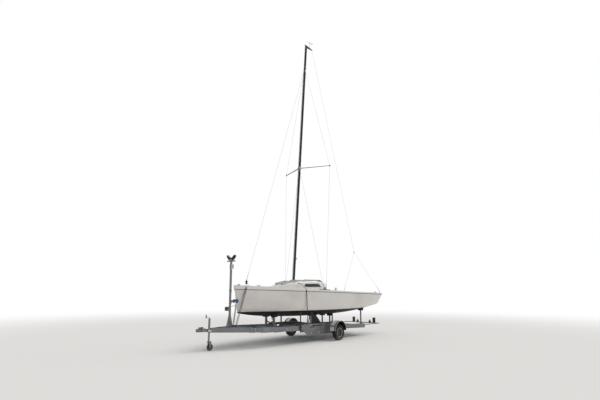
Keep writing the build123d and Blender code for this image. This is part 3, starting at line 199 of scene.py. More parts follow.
def hullGelcoat():
    f = Finish("hullGelcoat")
    clouds = f.noise(0.75, 3.0, stretch=(1, 1, 1.6))
    specks = f.noise(160.0, 2.0)
    grime = f.patches(9.0, 0.56, 0.80, 4.0, 0.6, (1.2, 1.2, 0.12)) * f.step(f.z, 1.45, 1.03)
    # Cloudy patches pull the white topsides towards their shade tone: painted shade and soft painted
    # reflections of the sky
    white = f.mix(f.step(clouds, 0.38, 0.68) * 0.55, paint["topsides"], paint["topsidesShade"])
    white = f.mix(grime * 0.35, white, (0.50, 0.48, 0.43))
    chips = f.patches(34.0, 0.66, 0.72, 5.0, 0.7)
    # The bottom's near-black is its black paint, darkened further as painted shade under the hull
    blackAndShade = f.mix(f.patches(5.0, 0.48, 0.72, 6.0, 0.62) * 0.55, paint["bottomBlackAndShade"], paint["bottomScuff"])
    blackAndShade = f.mix(chips * 0.5, blackAndShade, (0.09, 0.092, 0.096))
    edge = f.z + (f.noise(24.0, 2.0) - 0.5) * 0.004
    painted = edge.below(paint["waterline"], 0.001)
    colour = f.mix(painted, white, blackAndShade)
    colour = f.mix(seamLine(f), colour, paint["seam"])
    rough = 0.16 + clouds * 0.08 + painted * 0.34 + specks * 0.04
    height = f.noise(3.5, 1.0) * (1 - painted) + f.noise(420.0, 3.0) * painted * 0.2
    return f.surface(colour=colour, roughness=rough, coat=0.6 - painted * 0.6, coatRoughness=0.08,
                     normal=f.bump(height, 0.25, 0.004))


# Anti-slip panels on the deck, as centre ahead, half length, inner and outer edge across, lowest and highest
gripPanels = {
    "sole": (-1.72, 1.36, 0.0, 0.555, 1.26, 1.30), "sideDeckFore": (1.35, 0.62, 0.66, 0.86, 1.60, 1.80),
    "sideDeckMid": (0.18, 0.48, 0.70, 1.04, 1.60, 1.80), "sideDeckAft": (-1.45, 1.05, 0.67, 1.02, 1.55, 1.75),
    "foredeck": (2.62, 0.30, 0.0, 0.40, 1.70, 1.90), "roof": (0.55, 0.12, 0.31, 0.46, 1.95, 2.06),
}


def deckGelcoat():
    f = Finish("deckGelcoat")
    ahead = axleX - f.x
    up = f.node("ShaderNodeSeparateXYZ", None,
                {0: f.node("ShaderNodeNewGeometry", output="Normal")}, output=2)
    grip = None
    for centre, half, inner, outer, low, high in gripPanels.values():
        along = abs(ahead - centre) - half
        across = abs(abs(f.y) - (inner + outer) / 2) - (outer - inner) / 2
        panel = along.most(across).below(0.0, 0.002) * f.z.above(low) * f.z.below(high)
        grip = panel if grip is None else grip.most(panel)
    grip = grip * up.above(0.9, 0.02)
    clouds = f.noise(1.4, 4.0)
    dirt = f.patches(11.0, 0.50, 0.80)
    white = f.mix(clouds * 0.4, (0.88, 0.86, 0.82), (0.78, 0.76, 0.73))
    white = f.mix(dirt * up.above(0.6, 0.2) * 0.30, white, (0.55, 0.53, 0.48))
    gripColour = f.mix(f.noise(7.0, 5.0), (0.55, 0.56, 0.56), (0.66, 0.66, 0.65))
    colour = f.mix(grip, white, gripColour)
    # The joint's line is drawn only outside the cockpit
    outside = abs(f.y).above(paint["cockpitHalf"], 0.005).most(ahead.above(paint["cockpitFore"], 0.005))
    colour = f.mix(seamLine(f) * outside, colour, paint["seam"])
    grain = f.cells(330.0) * grip
    return f.surface(colour=colour, roughness=0.24 + grip * 0.42 + dirt * 0.12, coat=0.45 - grip * 0.4,
                     coatRoughness=0.12, normal=f.bump(grain + f.noise(5.0, 1.0) * 0.3, 0.5, 0.0012))


def zincCoat(name, tone, rust=0.25):
    def toned(*colour):
        return [part * tone for part in colour]

    f = Finish(name)
    shade = f.node("ShaderNodeSeparateColor", None, {0: f.cells(42.0, "Color")})
    clouds = f.noise(2.6, 6.0, 0.6)
    bloom = f.patches(14.0, 0.46, 0.70)
    grey = f.mix(shade, toned(0.36, 0.375, 0.39), toned(0.50, 0.515, 0.53))
    grey = f.mix(clouds * 0.55, grey, toned(0.30, 0.31, 0.32))
    grey = f.mix(bloom * 0.35, grey, toned(0.60, 0.61, 0.61))
    spots = f.patches(19.0, 0.64, 0.74, 8.0, 0.72) * f.patches(2.0, 0.48, 0.66, 2.0, 0.55)
    runs = f.patches(13.0, 0.62, 0.78, 5.0, 0.6, (1, 1, 0.16))
    stain = (spots + runs * 0.35) * rust
    grey = f.mix(stain, grey, (0.23, 0.115, 0.055))
    road = f.step(f.z, 0.52, 0.18) * f.patches(6.0, 0.35, 0.7, 6.0, 0.6)
    grey = f.mix(road * 0.5, grey, (0.19, 0.175, 0.155))
    metal = 0.62 - stain * 0.6 - bloom * 0.2 - road * 0.3
    rough = 0.42 + clouds * 0.12 + bloom * 0.16 + road * 0.2
    height = shade * 0.25 + f.noise(60.0, 6.0, 0.6) + stain
    return f.surface(colour=grey, metallic=metal, roughness=rough, normal=f.bump(height, 0.25, 0.0008))


def clearAnodising():
    f = Finish("clearAnodising")
    lines = f.noise(240.0, 3.0, 0.6, (1, 1, 0.05))
    clouds = f.noise(3.0, 4.0)
    shade = f.mix(clouds * 0.6 + lines * 0.3, (0.66, 0.67, 0.68), (0.46, 0.47, 0.48))
    return f.surface(colour=shade, metallic=0.85, roughness=0.3 + lines * 0.08 + clouds * 0.06,
                     normal=f.bump(lines, 0.12, 0.0003))


def mastAnodising():
    f = Finish("mastAnodising")
    lines = f.noise(150.0, 3.0, 0.6, stretch=(1, 1, 0.02))
    clouds = f.noise(1.6, 4.0)
    scuffs = f.patches(30.0, 0.62, 0.75, 6.0, 0.7, (1, 1, 0.25)) * f.step(f.z, 4.2, 2.0)
    colour = f.mix(clouds * 0.5 + lines * 0.2, (0.014, 0.014, 0.016), (0.04, 0.041, 0.044))
    colour = f.mix(scuffs * 0.4, colour, (0.14, 0.14, 0.145))
    return f.surface(colour=colour, metallic=0.6, roughness=0.30 + lines * 0.1 + clouds * 0.08,
                     coat=0.15, coatRoughness=0.2, normal=f.bump(lines, 0.1, 0.0003))


def stainless(name="stainless", wire=False):
    f = Finish(name)
    clouds = f.noise(12.0, 4.0)
    tea = f.patches(26.0, 0.66, 0.78, 6.0, 0.7)
    colour = f.mix(clouds, (0.56, 0.57, 0.58), (0.70, 0.71, 0.72))
    colour = f.mix(tea * 0.4, colour, (0.34, 0.22, 0.12))
    if wire:
        lay = f.maths("SINE", (f.z + f.x + f.y) * 1400.0)
        return f.surface(colour=f.mix(lay * 0.3 + 0.3, colour, (0.18, 0.18, 0.19)), metallic=0.9,
                         roughness=0.34 + clouds * 0.1, normal=f.bump(lay, 0.5, 0.0006))
    return f.surface(colour=colour, metallic=1.0, roughness=0.16 + clouds * 0.12 + tea * 0.3,
                     normal=f.bump(f.noise(300.0, 2.0), 0.05, 0.0002))


def acrylic():
    f = Finish("darkAcrylic")
    dust = f.patches(24.0, 0.45, 0.8)
    scratches = f.noise(180.0, 4.0, 0.7, stretch=(0.08, 1, 1))
    colour = f.mix(dust * 0.35, (0.008, 0.009, 0.011), (0.06, 0.062, 0.066))
    return f.surface(colour=colour, roughness=0.06 + dust * 0.2 + scratches * 0.05, coat=0.5,
                     coatRoughness=0.05, normal=f.bump(f.noise(2.0, 1.0), 0.1, 0.002))


def smokedAcrylic():
    f = Finish("smokedAcrylic")
    haze = f.patches(16.0, 0.35, 0.8)
    colour = f.mix(haze * 0.5, (0.13, 0.19, 0.25), (0.34, 0.39, 0.42))
    return f.surface(colour=colour, roughness=0.10 + haze * 0.3, transmission=0.35, ior=1.49, coat=0.4,
                     coatRoughness=0.06, normal=f.bump(f.noise(3.0, 1.0), 0.1, 0.002))


def moulded(name, colour, dusty, rough=0.55, dustHeight=0.0):
    f = Finish(name)
    clouds = f.noise(6.0, 5.0, 0.6)
    dust = f.patches(21.0, 0.42, 0.78)
    tone = f.mix(clouds * 0.4 + dust * 0.4, colour, dusty)
    if dustHeight:
        tone = f.mix(f.step(f.z, dustHeight, 0.0) * 0.6, tone, (0.20, 0.18, 0.155))
    return f.surface(colour=tone, roughness=rough + dust * 0.15,
                     normal=f.bump(f.noise(520.0, 3.0), 0.25, 0.0005))


def epoxyBlack():
    f = Finish("epoxyBlack")
    clouds = f.noise(4.0, 6.0, 0.6)
    chips = f.patches(22.0, 0.66, 0.70, 7.0, 0.72)
    colour = f.mix(clouds, (0.012, 0.013, 0.015), (0.05, 0.052, 0.056))
    colour = f.mix(chips * 0.7, colour, (0.17, 0.12, 0.085))
    return f.surface(colour=colour, roughness=0.38 + clouds * 0.2 + chips * 0.2,
                     normal=f.bump(f.noise(90.0, 5.0) - chips, 0.3, 0.0008))


def lens(name, colour, dark):
    f = Finish(name)
    ribs = f.maths("SINE", f.y * 900.0) * f.maths("SINE", f.z * 900.0)
    return f.surface(colour=f.mix(ribs * 0.3 + 0.3, colour, dark), roughness=0.16 + f.noise(30.0, 4.0) * 0.15,
                     coat=0.6, coatRoughness=0.1, normal=f.bump(ribs, 0.4, 0.0008))


# Woven strap: crossed yarns with frayed, faded patches
def webbing(name, colour, faded):
    f = Finish(name)
    yarns = f.maths("SINE", (f.x + f.z * 0.7) * 2600.0) * f.maths("SINE", (f.y + f.z) * 2300.0)
    wear = f.patches(9.0, 0.40, 0.75, 5.0, 0.6)
    return f.surface(colour=f.mix(wear * 0.6 + yarns * 0.12, colour, faded), roughness=0.74 + wear * 0.14,
                     normal=f.bump(yarns, 0.5, 0.0006))


# Braided rope: a herringbone of strands with a coloured fleck
def rope(name, colour, fleck):
    f = Finish(name)
    strands = f.maths("SINE", (f.z + f.x * 0.6) * 900.0) * f.maths("SINE", (f.z - f.y * 0.6) * 760.0)
    flecks = f.step(f.cells(150.0), 0.20, 0.10)
    tone = f.mix(flecks * 0.8, colour, fleck)
    tone = f.mix(f.patches(6.0, 0.4, 0.8, 5.0, 0.55) * 0.35, tone, (0.30, 0.29, 0.27))
    return f.surface(colour=tone, roughness=0.78 + flecks * 0.05, normal=f.bump(strands, 0.6, 0.0008))


# Steel wheel discs, dark, inside a brighter rim flange
def rimPaint():
    f = Finish("rimPaint")
    flange = f.fromAxle(paint["axleHeight"]).above(paint["rimEdge"], 0.004)
    dirt = f.patches(17.0, 0.40, 0.75)
    colour = f.mix(flange, (0.045, 0.046, 0.048), (0.36, 0.365, 0.37))
    colour = f.mix(dirt * 0.45, colour, (0.10, 0.088, 0.072))
    return f.surface(colour=colour, metallic=flange * 0.5, roughness=0.42 + dirt * 0.25 - flange * 0.08,
                     normal=f.bump(f.noise(260.0, 4.0), 0.15, 0.0004))


# Mudguards: a pale sheet outside carrying a painted highlight, and painted shade in black underneath and
# along the outer edge
def guardSheetPaintedShade():
    f = Finish("guardSheetPaintedShade")
    arch = f.fromAxle(paint["archHeight"]).above(paint["archEdge"], 0.0008)
    # The pale band is the sheet's own pale colour with a painted highlight; under the arch and past its outer
    # edge the black is painted shade
    litBand = arch * abs(f.y).below(paint["guardShadeEdge"], 0.002)
    dirt = f.patches(12.0, 0.42, 0.76)
    chips = f.patches(48.0, 0.66, 0.70, 6.0, 0.7)
    tone = f.mix(dirt * 0.35, (0.80, 0.78, 0.78), (0.46, 0.44, 0.42))
    blackAndShade = f.mix(dirt * 0.5, (0.010, 0.010, 0.011), (0.040, 0.038, 0.035))
    colour = f.mix(litBand, blackAndShade, f.mix(chips * 0.6, tone, (0.20, 0.19, 0.18)))
    return f.surface(colour=colour, metallic=litBand * 0.25, roughness=0.55 - litBand * 0.24 + dirt * 0.2,
                     normal=f.bump(f.noise(180.0, 4.0) - chips, 0.2, 0.0004))


# Painted bead, chipped to the metal and with road dirt low down
def beadPaint():
    f = Finish("guardBead")
    chips = f.patches(40.0, 0.62, 0.68, 6.0, 0.7)
    dirt = f.step(f.z, 0.62, 0.30) * f.patches(14.0, 0.3, 0.8, 5.0, 0.55)
    tone = f.mix(chips * 0.8, (0.78, 0.79, 0.80), (0.28, 0.27, 0.26))
    tone = f.mix(dirt * 0.5, tone, (0.30, 0.27, 0.23))
    return f.surface(colour=tone, metallic=0.35 - dirt * 0.3, roughness=0.32 + dirt * 0.3 + chips * 0.2,
                     normal=f.bump(f.noise(200.0, 3.0), 0.1, 0.0003))


finishes = {
    "hull": hullGelcoat(), "deck": deckGelcoat(), "zinc": zincCoat("zincCoat", 0.62),
    "zincDark": zincCoat("zincWeathered", 0.5, 0.6), "alloy": clearAnodising(), "mast": mastAnodising(),
    "steel": stainless(), "wire": stainless("stayWire", wire=True), "window": acrylic(),
    "pane": smokedAcrylic(), "epoxy": epoxyBlack(),
    "lensRed": lens("lensRed", (0.42, 0.012, 0.010), (0.20, 0.004, 0.004)),
    "lensAmber": lens("lensAmber", (0.80, 0.26, 0.02), (0.50, 0.12, 0.01)),
    "blackPlastic": moulded("blackPlastic", (0.02, 0.02, 0.022), (0.075, 0.075, 0.075)),
    "rubber": moulded("blackRubber", (0.012, 0.012, 0.012), (0.034, 0.033, 0.031), 0.8, 0.18),
    "blueRubber": moulded("blueRubber", (0.012, 0.07, 0.24), (0.06, 0.14, 0.30)),
    "rim": rimPaint(), "guard": guardSheetPaintedShade(), "guardBead": beadPaint(),
    "jointRubber": moulded("jointRubber", (0.13, 0.13, 0.135), (0.22, 0.22, 0.22), 0.6),
    "strapBlack": webbing("strapBlack", (0.016, 0.016, 0.018), (0.07, 0.07, 0.07)),
    "strapGrey": webbing("strapGrey", (0.30, 0.36, 0.42), (0.46, 0.49, 0.50)),
    "ropeDark": rope("ropeDark", (0.045, 0.048, 0.055), (0.20, 0.21, 0.22)),
    "ropeWhite": rope("ropeWhite", (0.66, 0.66, 0.64), (0.45, 0.04, 0.03)),
    "ropeGrey": rope("ropeGrey", (0.50, 0.51, 0.52), (0.10, 0.12, 0.20)),
    "ropeGreen": rope("ropeGreen", (0.10, 0.30, 0.13), (0.50, 0.52, 0.30)),
}
print("finishes made:", len(finishes))

dressing = {
    "hull": "hull", "deck": "deck", "companionway_hatch": "deck", "keel_trunk": "deck",
    "windows": "window", "forehatch_pane": "pane", "forehatch_frame": "alloy", "forehatch_hinges": "alloy",
    "hatch_rails": "alloy", "mast_step": "alloy", "gooseneck": "alloy", "vane_staff": "alloy",
    "winches": "steel", "gudgeons": "steel", "chainplates": "steel", "mast": "mast", "spreaders": "mast",
    "masthead_crane": "mast", "forestay": "wire", "backstay": "wire", "backstay_bridle": "wire",
    "cap_shrouds_upper": "wire", "cap_shrouds_lower": "wire", "lower_shrouds": "wire",
    "wind_vane": "blackPlastic", "furler_drum": "blackPlastic", "tracks": "blackPlastic",
    "keel_bulb": "epoxy", "keel_fin": "epoxy", "keel_saddles": "rubber", "support_pads": "rubber",
    "tyre_port": "rubber", "tyre_starboard": "rubber", "jockey_wheel": "rubber", "bow_chock": "blueRubber",
    "rim_port": "rim", "rim_starboard": "rim", "hub_port": "zincDark", "hub_starboard": "zincDark",
    "lamps": "blackPlastic", "mudguards": "guard", "coupling_head": "zincDark",
}


def dress(node, material):
    slots = nodes[node].material_slots
    if not slots:
        nodes[node].data.materials.append(material)
    for slot in slots:
        slot.material = material


for node in nodes:
    dress(node, finishes[dressing.get(node, "zinc")])

# Modelling helpers: each shape is made from bmesh operators in its own bmesh, then joined to its piece

identity = Matrix.Identity(4)
sharpAngle = math.radians(32.0)


def vertsOf(items):
    return [item for item in items if isinstance(item, bmesh.types.BMVert)]


def rounded(part, bevel):
    if bevel:
        bmesh.ops.bevel(part, geom=part.edges[:], offset=bevel, offset_type="OFFSET", affect="EDGES",
                        segments=2, profile=0.5, material=-1)


# An outline of places along the axis and radii, spun once round it
def spun(outline, segments, closed=False):
    part = bmesh.new()
    verts = [part.verts.new((radius, 0, along)) for along, radius in outline]
    edges = [part.edges.new(pair) for pair in zip(verts, verts[1:] + verts[:closed])]
    bmesh.ops.spin(part, geom=verts + edges, cent=(0, 0, 0), axis=(0, 0, 1), angle=math.tau,
                   steps=segments, use_merge=True)
    return part


def mirrored(outline):
    return [(-along, radius) for along, radius in reversed(outline)]


# An outline and its mirror image; a point in the middle plane is used once
def symmetric(half):
    return half + mirrored(half[:-1] if half[-1][0] == 0 else half)


# An outline from pairs of height and radius, closed to the axis at both ends
def stepped(*steps):
    return [(0, 0), *steps, (steps[-1][0], 0)]


def facing(direction):
    return Vector(direction).to_track_quat("Z", "Y").to_matrix().to_4x4()


# A frame whose Z runs along a direction and whose Y stays near a second one
def framed(place, along, near=(0, 1, 0)):
    along = Vector(along).normalized()
    across = Vector(near).cross(along).normalized()
    turn = Matrix((across, along.cross(across), along)).transposed().to_4x4()
    return Matrix.Translation(Vector(place)) @ turn


class Piece:
    def __init__(self, name):
        self.name = name
        self.mesh = bmesh.new()
        self.frame = identity

    def take(self, part):
        bmesh.ops.remove_doubles(part, verts=part.verts, dist=0.00002)
        bmesh.ops.recalc_face_normals(part, faces=part.faces)
        bmesh.ops.transform(part, matrix=self.frame, verts=part.verts)
        held = bpy.data.meshes.new("part")
        part.to_mesh(held)
        part.free()
        self.mesh.from_mesh(held)
        bpy.data.meshes.remove(held)

    def box(self, low, high, bevel=0.0):
        part = bmesh.new()
        bmesh.ops.create_cube(part, size=1.0)
        bmesh.ops.scale(part, vec=[b - a for a, b in zip(low, high)], verts=part.verts)
        bmesh.ops.translate(part, vec=[(a + b) / 2 for a, b in zip(low, high)], verts=part.verts)
        rounded(part, bevel)
        self.take(part)

    def rod(self, start, end, radius, tip=None, segments=14):
        start, end = Vector(start), Vector(end)
        part = bmesh.new()
        bmesh.ops.create_cone(part, cap_ends=True, segments=segments, radius1=radius,
                              radius2=radius if tip is None else tip, depth=(end - start).length,
                              matrix=Matrix.Translation((start + end) / 2) @ facing(end - start))
        self.take(part)

    def turned(self, outline, start, direction, segments=28):
        part = spun(outline, segments)
        bmesh.ops.transform(part, matrix=Matrix.Translation(start) @ facing(direction), verts=part.verts)
        self.take(part)

    # A flat shape given by its corners, pushed along one direction
    def plate(self, corners, push, bevel=0.0):
        part = bmesh.new()
        face = part.faces.new([part.verts.new(corner) for corner in corners])
        pushed = bmesh.ops.extrude_face_region(part, geom=[face])["geom"]
        bmesh.ops.translate(part, vec=push, verts=vertsOf(pushed))
        rounded(part, bevel)
        self.take(part)

    # A rope, bar or strap: a ring is pushed from point to point; a strap keeps its face to the normals
    def sweep(self, points, width, thick=None, normals=None, segments=10, closed=False):
        points = [Vector(point) for point in points]
        flat = thick is not None
        section = Matrix.Diagonal((width / 2, (thick if flat else width) / 2, 1.0, 1.0))
        if flat:
            section = Matrix.Diagonal((math.sqrt(2), math.sqrt(2), 1, 1)) @ section
        count = len(points)
        places = []
        normal = Vector(normals[0]) if normals else None
        for index, point in enumerate(points):
            before = points[index - 1] if index or closed else point
            after = points[(index + 1) % count] if index < count - 1 or closed else point
            along = (after - before).normalized()
            if normals:
                normal = Vector(normals[index])
            elif normal is None:
                normal = along.orthogonal()
            side = normal.cross(along).normalized()
            normal = along.cross(side).normalized()
            turn = Matrix((side, normal, along)).transposed().to_4x4()
            places.append(Matrix.Translation(point) @ turn @ section)
        if closed:
            places.append(places[0])
        part = bmesh.new()
        ring = bmesh.ops.create_circle(part, cap_ends=False, segments=4 if flat else segments, radius=1.0,
                                       matrix=Matrix.Rotation(math.pi / 4, 4, "Z") if flat else identity)
        bmesh.ops.transform(part, matrix=places[0], verts=ring["verts"])
        edges = part.edges[:]
        for old, new in zip(places, places[1:]):
            pushed = bmesh.ops.extrude_edge_only(part, edges=edges)["geom"]
            bmesh.ops.transform(part, matrix=new @ old.inverted(), verts=vertsOf(pushed))
            edges = [item for item in pushed if isinstance(item, bmesh.types.BMEdge)]
        if not closed:
            bmesh.ops.holes_fill(part, edges=part.edges[:], sides=0)
        self.take(part)

    # A hexagon head or nut with its washer and the end of its bolt
    def bolt(self, place, direction, across=0.019, height=0.009, washer=0.014):
        place, direction = Vector(place), Vector(direction).normalized()
        self.rod(place, place + direction * 0.0025, washer, segments=16)
        self.rod(place + direction * 0.0025, place + direction * (0.0025 + height), across / 2 * 1.1547,
                 segments=6)
        self.rod(place, place + direction * (0.006 + height), across * 0.28, segments=10)

    def finish(self, material, body=boat, slot=None, replaces=()):
        mesh = bpy.data.meshes.new(self.name)
        self.mesh.to_mesh(mesh)
        self.mesh.free()
        mesh.polygons.foreach_set("use_smooth", [True] * len(mesh.polygons))
        mesh.set_sharp_from_angle(angle=sharpAngle)
        mesh.materials.append(finishes[material])
        made = addObject(self.name, mesh)
        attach(made, body)
        if replaces:
            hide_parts(*replaces)


skins = {}


# First place on the named nodes that a line meets, with the way the surface faces
def touch(names, origin, direction):
    nearest = None
    for name in names:
        if name not in skins:
            copied = bmesh.new()
            copied.from_mesh(nodes[name].data)
            skins[name] = BVHTree.FromBMesh(copied)
            copied.free()
        place, normal, _, distance = skins[name].ray_cast(Vector(origin), Vector(direction))
        if place is not None and (nearest is None or distance < nearest[2]):
            nearest = (place, normal, distance)
    return nearest


# The lines that look for the boat's surface start above its roof and beside its hull
startHeight = 3.4
startAcross = 2.5


def fromAbove(ahead, across, names=("deck",)):
    return touch(names, (xAt(ahead), across, startHeight), (0, 0, -1))


def fromSide(ahead, height, side, names=("hull", "deck")):
    return touch(names, (xAt(ahead), side * startAcross, height), (0, -side, 0))


def onDeck(ahead, across, lift=0.0):
    place, outward, _ = fromAbove(ahead, across)
    return place + outward * lift


# The mast leans aft in a straight line
mastLine = {"footAhead": 1.080, "footHeight": 2.048, "headAhead": 0.376, "headHeight": 11.410}
mastUp = Vector((mastLine["footAhead"] - mastLine["headAhead"], 0,
                 mastLine["headHeight"] - mastLine["footHeight"])).normalized()
mastAft = Vector((mastUp.z, 0, -mastUp.x))


def onMast(height, aft=0.0, across=0.0):
    share = (height - mastLine["footHeight"]) / (mastLine["headHeight"] - mastLine["footHeight"])
    ahead = mastLine["footAhead"] + share * (mastLine["headAhead"] - mastLine["footAhead"])
    return Vector((xAt(ahead), across, height)) + mastAft * aft


sides = ((-1, "port"), (1, "starboard"))

# Wheels

tyre = {
    "across": 1.125, "crown": 0.2600, "shoulder": 0.2515, "halfTread": 0.060, "halfWidth": 0.0785,
    "widest": 0.205, "bead": 0.1525, "halfBead": 0.058, "grooves": (-0.034, -0.011, 0.012, 0.035),
    "grooveHalf": 0.0032, "grooveDeep": 0.0065, "grooveLip": 0.0008, "blocks": 90, "bandAcross": 0.0632,
    "bandHalf": 0.0022, "bandRadius": 0.25, "notchInset": 0.0009, "notchDeep": 0.0055,
}


def tyreOutline():
    crown, half = tyre["crown"], tyre["halfTread"]
    wall = [(-tyre["halfBead"], tyre["bead"]), (-0.064, 0.163), (-0.072, 0.180), (-0.0775, 0.196),
            (-tyre["halfWidth"], tyre["widest"]), (-0.0778, 0.2120), (-0.0788, 0.2135), (-0.0788, 0.2165),
            (-0.0765, 0.2190), (-0.0720, 0.2385), (-0.0665, tyre["shoulder"]), (-half, crown - 0.0030)]
    tread = []
    for place in tyre["grooves"]:
        rise = crown - 0.0028 * (place / half) ** 2
        low, high = place - tyre["grooveHalf"], place + tyre["grooveHalf"]
        tread += [(low - tyre["grooveLip"], rise), (low, rise - tyre["grooveDeep"]),
                  (high, rise - tyre["grooveDeep"]), (high + tyre["grooveLip"], rise)]
    inside = [(0.050, tyre["bead"]), (0.062, 0.185), (0.066, 0.210), (0.055, 0.238), (0.0, 0.246)]
    return wall + tread + mirrored(wall) + symmetric(inside)


# The shoulder's outer band is notched at every second face
def makeTyre(side, tag):
    steps = tyre["blocks"] * 2
    part = spun(tyreOutline(), steps, closed=True)
    bmesh.ops.remove_doubles(part, verts=part.verts, dist=0.00002)
    bmesh.ops.recalc_face_normals(part, faces=part.faces)
    notched = []
    for face in part.faces:
        centre = face.calc_center_median()
        reach = math.hypot(centre.x, centre.y)
        if abs(abs(centre.z) - tyre["bandAcross"]) < tyre["bandHalf"] and reach > tyre["bandRadius"]:
            step = round(math.atan2(centre.y, centre.x) / math.tau * steps - 0.5)
            if (step + (centre.z > 0)) % 2:
                notched.append(face)
    bmesh.ops.inset_individual(part, faces=notched, thickness=tyre["notchInset"], depth=-tyre["notchDeep"])
    made = Piece(f"wheel_{tag}_tyre")
    made.frame = Matrix.Translation((axleX, side * tyre["across"], tyre["crown"])) @ facing((0, side, 0))
    made.take(part)
    made.finish("rubber", f"wheel_{tag}", "tyre", [f"tyre_{tag}"])


# Nuts round the hub, the tyre's valve and a pressed grease cap on the hub's end
wheelGear = {"nuts": 5, "pitch": 0.056, "turn": 0.3, "face": 1.1252, "capRadius": 0.030, "capFoot": 1.163,
             "valve": 0.104}


def makeWheelGear(side, tag):
    made = Piece(f"wheel_{tag}_nuts")
    centre = Vector((axleX, 0, tyre["crown"]))
    out = Vector((0, side, 0))
    for nut in range(wheelGear["nuts"]):
        angle = math.tau * nut / wheelGear["nuts"] + wheelGear["turn"]
        foot = centre + Vector((math.cos(angle), 0, math.sin(angle))) * wheelGear["pitch"]
        foot += out * wheelGear["face"]
        made.turned(stepped((0, 0.0135), (0.004, 0.0105)), foot, out, 16)
        made.rod(foot, foot + out * 0.015, 0.0105, segments=6)
        made.rod(foot, foot + out * 0.019, 0.0055, segments=12)
    made.finish("steel", f"wheel_{tag}", "galvanised")
    cap = Piece(f"wheel_{tag}_cap")
    radius = wheelGear["capRadius"]
    cap.turned([(0, 0), (0, radius), (0.004, radius), (0.005, radius - 0.003), (0.018, radius - 0.004),
                (0.022, radius - 0.009), (0.023, 0.006), (0.021, 0)],
               centre + out * wheelGear["capFoot"], out)
    foot = centre + Vector((wheelGear["valve"], side * (wheelGear["face"] + 0.004), 0))
    cap.rod(foot, foot + Vector((0.004, side * 0.022, 0)), 0.0045)
    cap.finish("blackPlastic", f"wheel_{tag}", "black_plastic")


for side, tag in sides:
    makeTyre(side, tag)
    makeWheelGear(side, tag)
print("wheels dressed")

# Tie-down straps: pulled tight over the boat, so each one lies along the outside of the section.
# Its roof is given ahead, its side and foot ahead, across and up.

straps = {
    "middle": {"roof": 1.262, "side": (1.49, 0.95, 1.73), "foot": (1.24, 0.80, 0.545), "width": 0.030,
               "shift": 0.0, "ratchet": 0.72},
    "bow": {"roof": 3.445, "side": (3.445, 0.20, 1.80), "foot": (3.735, 0.055, 0.570), "width": 0.018,
            "shift": 0.019, "ratchet": 0.0},
    "thick": 0.003, "lift": 0.004, "traceLow": 0.90, "traceRise": 0.016, "traceHeights": 56,
    "traceWidth": 0.022, "traceWidths": 48, "roofShare": 0.42, "middleHeight": 1.2,
}


def limited(share):
    return min(max(share, 0.0), 1.0)


# Places over the roof, the side decks and the topsides, and the ones that a tight strap would touch
def tautSection(strap):
    sideAhead, sideAcross, sideHeight = strap["side"]
    footAhead, footAcross, footHeight = strap["foot"]
    roofEdge = straps["roofShare"] * sideAcross
    found = []
    for step in range(straps["traceHeights"]):
        height = straps["traceLow"] + step * straps["traceRise"]
        share = limited((sideHeight - height) / (sideHeight - footHeight))
        hit = fromSide(sideAhead + share * (footAhead - sideAhead) + strap["shift"], height, 1)
        if hit:
            found.append(hit[0])
    for step in range(straps["traceWidths"]):
        across = step * straps["traceWidth"]
        share = limited((across - roofEdge) / (sideAcross - roofEdge))
        ahead = strap["roof"] + share * (sideAhead - strap["roof"]) + strap["shift"]
        hit = fromAbove(ahead, across)
        if hit:
            found.append(hit[0])
    found.append(Vector((xAt(footAhead + strap["shift"]), footAcross, footHeight)))
    found += [Vector((place.x, -place.y, place.z)) for place in found]
    outer = [found[index] for index in convex_hull_2d([Vector((place.y, place.z)) for place in found])]
    lowest = min(range(len(outer)), key=lambda index: (round(outer[index].z, 4), -outer[index].y))
    outer = outer[lowest:] + outer[:lowest]
    return outer if outer[1].y > 0 else [outer[0]] + outer[:0:-1]


# Ways the strap faces, which are outward from the boat's middle
def outwardNormals(line):
    normals = []
    for index, point in enumerate(line):
        along = line[min(index + 1, len(line) - 1)] - line[max(index - 1, 0)]
        normal = Vector((1, 0, 0)).cross(along).normalized() * -1
        outward = normal.dot(Vector((0, point.y, point.z - straps["middleHeight"]))) > 0
        normals.append(normal if outward else -normal)
    return normals


def makeStrap(name, strap):
    line = tautSection(strap)
    normals = outwardNormals(line)
    lifted = [point + normal * straps["lift"] for point, normal in zip(line, normals)]
    made = Piece(f"strap_{name}")
    made.sweep(lifted, strap["width"], straps["thick"], normals)
    made.finish("strapBlack")
    if strap["ratchet"]:
        makeStrapGear(name, strap, lifted[0], lifted[1], normals[0], "starboard")
        makeStrapGear(name, strap, lifted[-1], lifted[-2], normals[-1], "port")


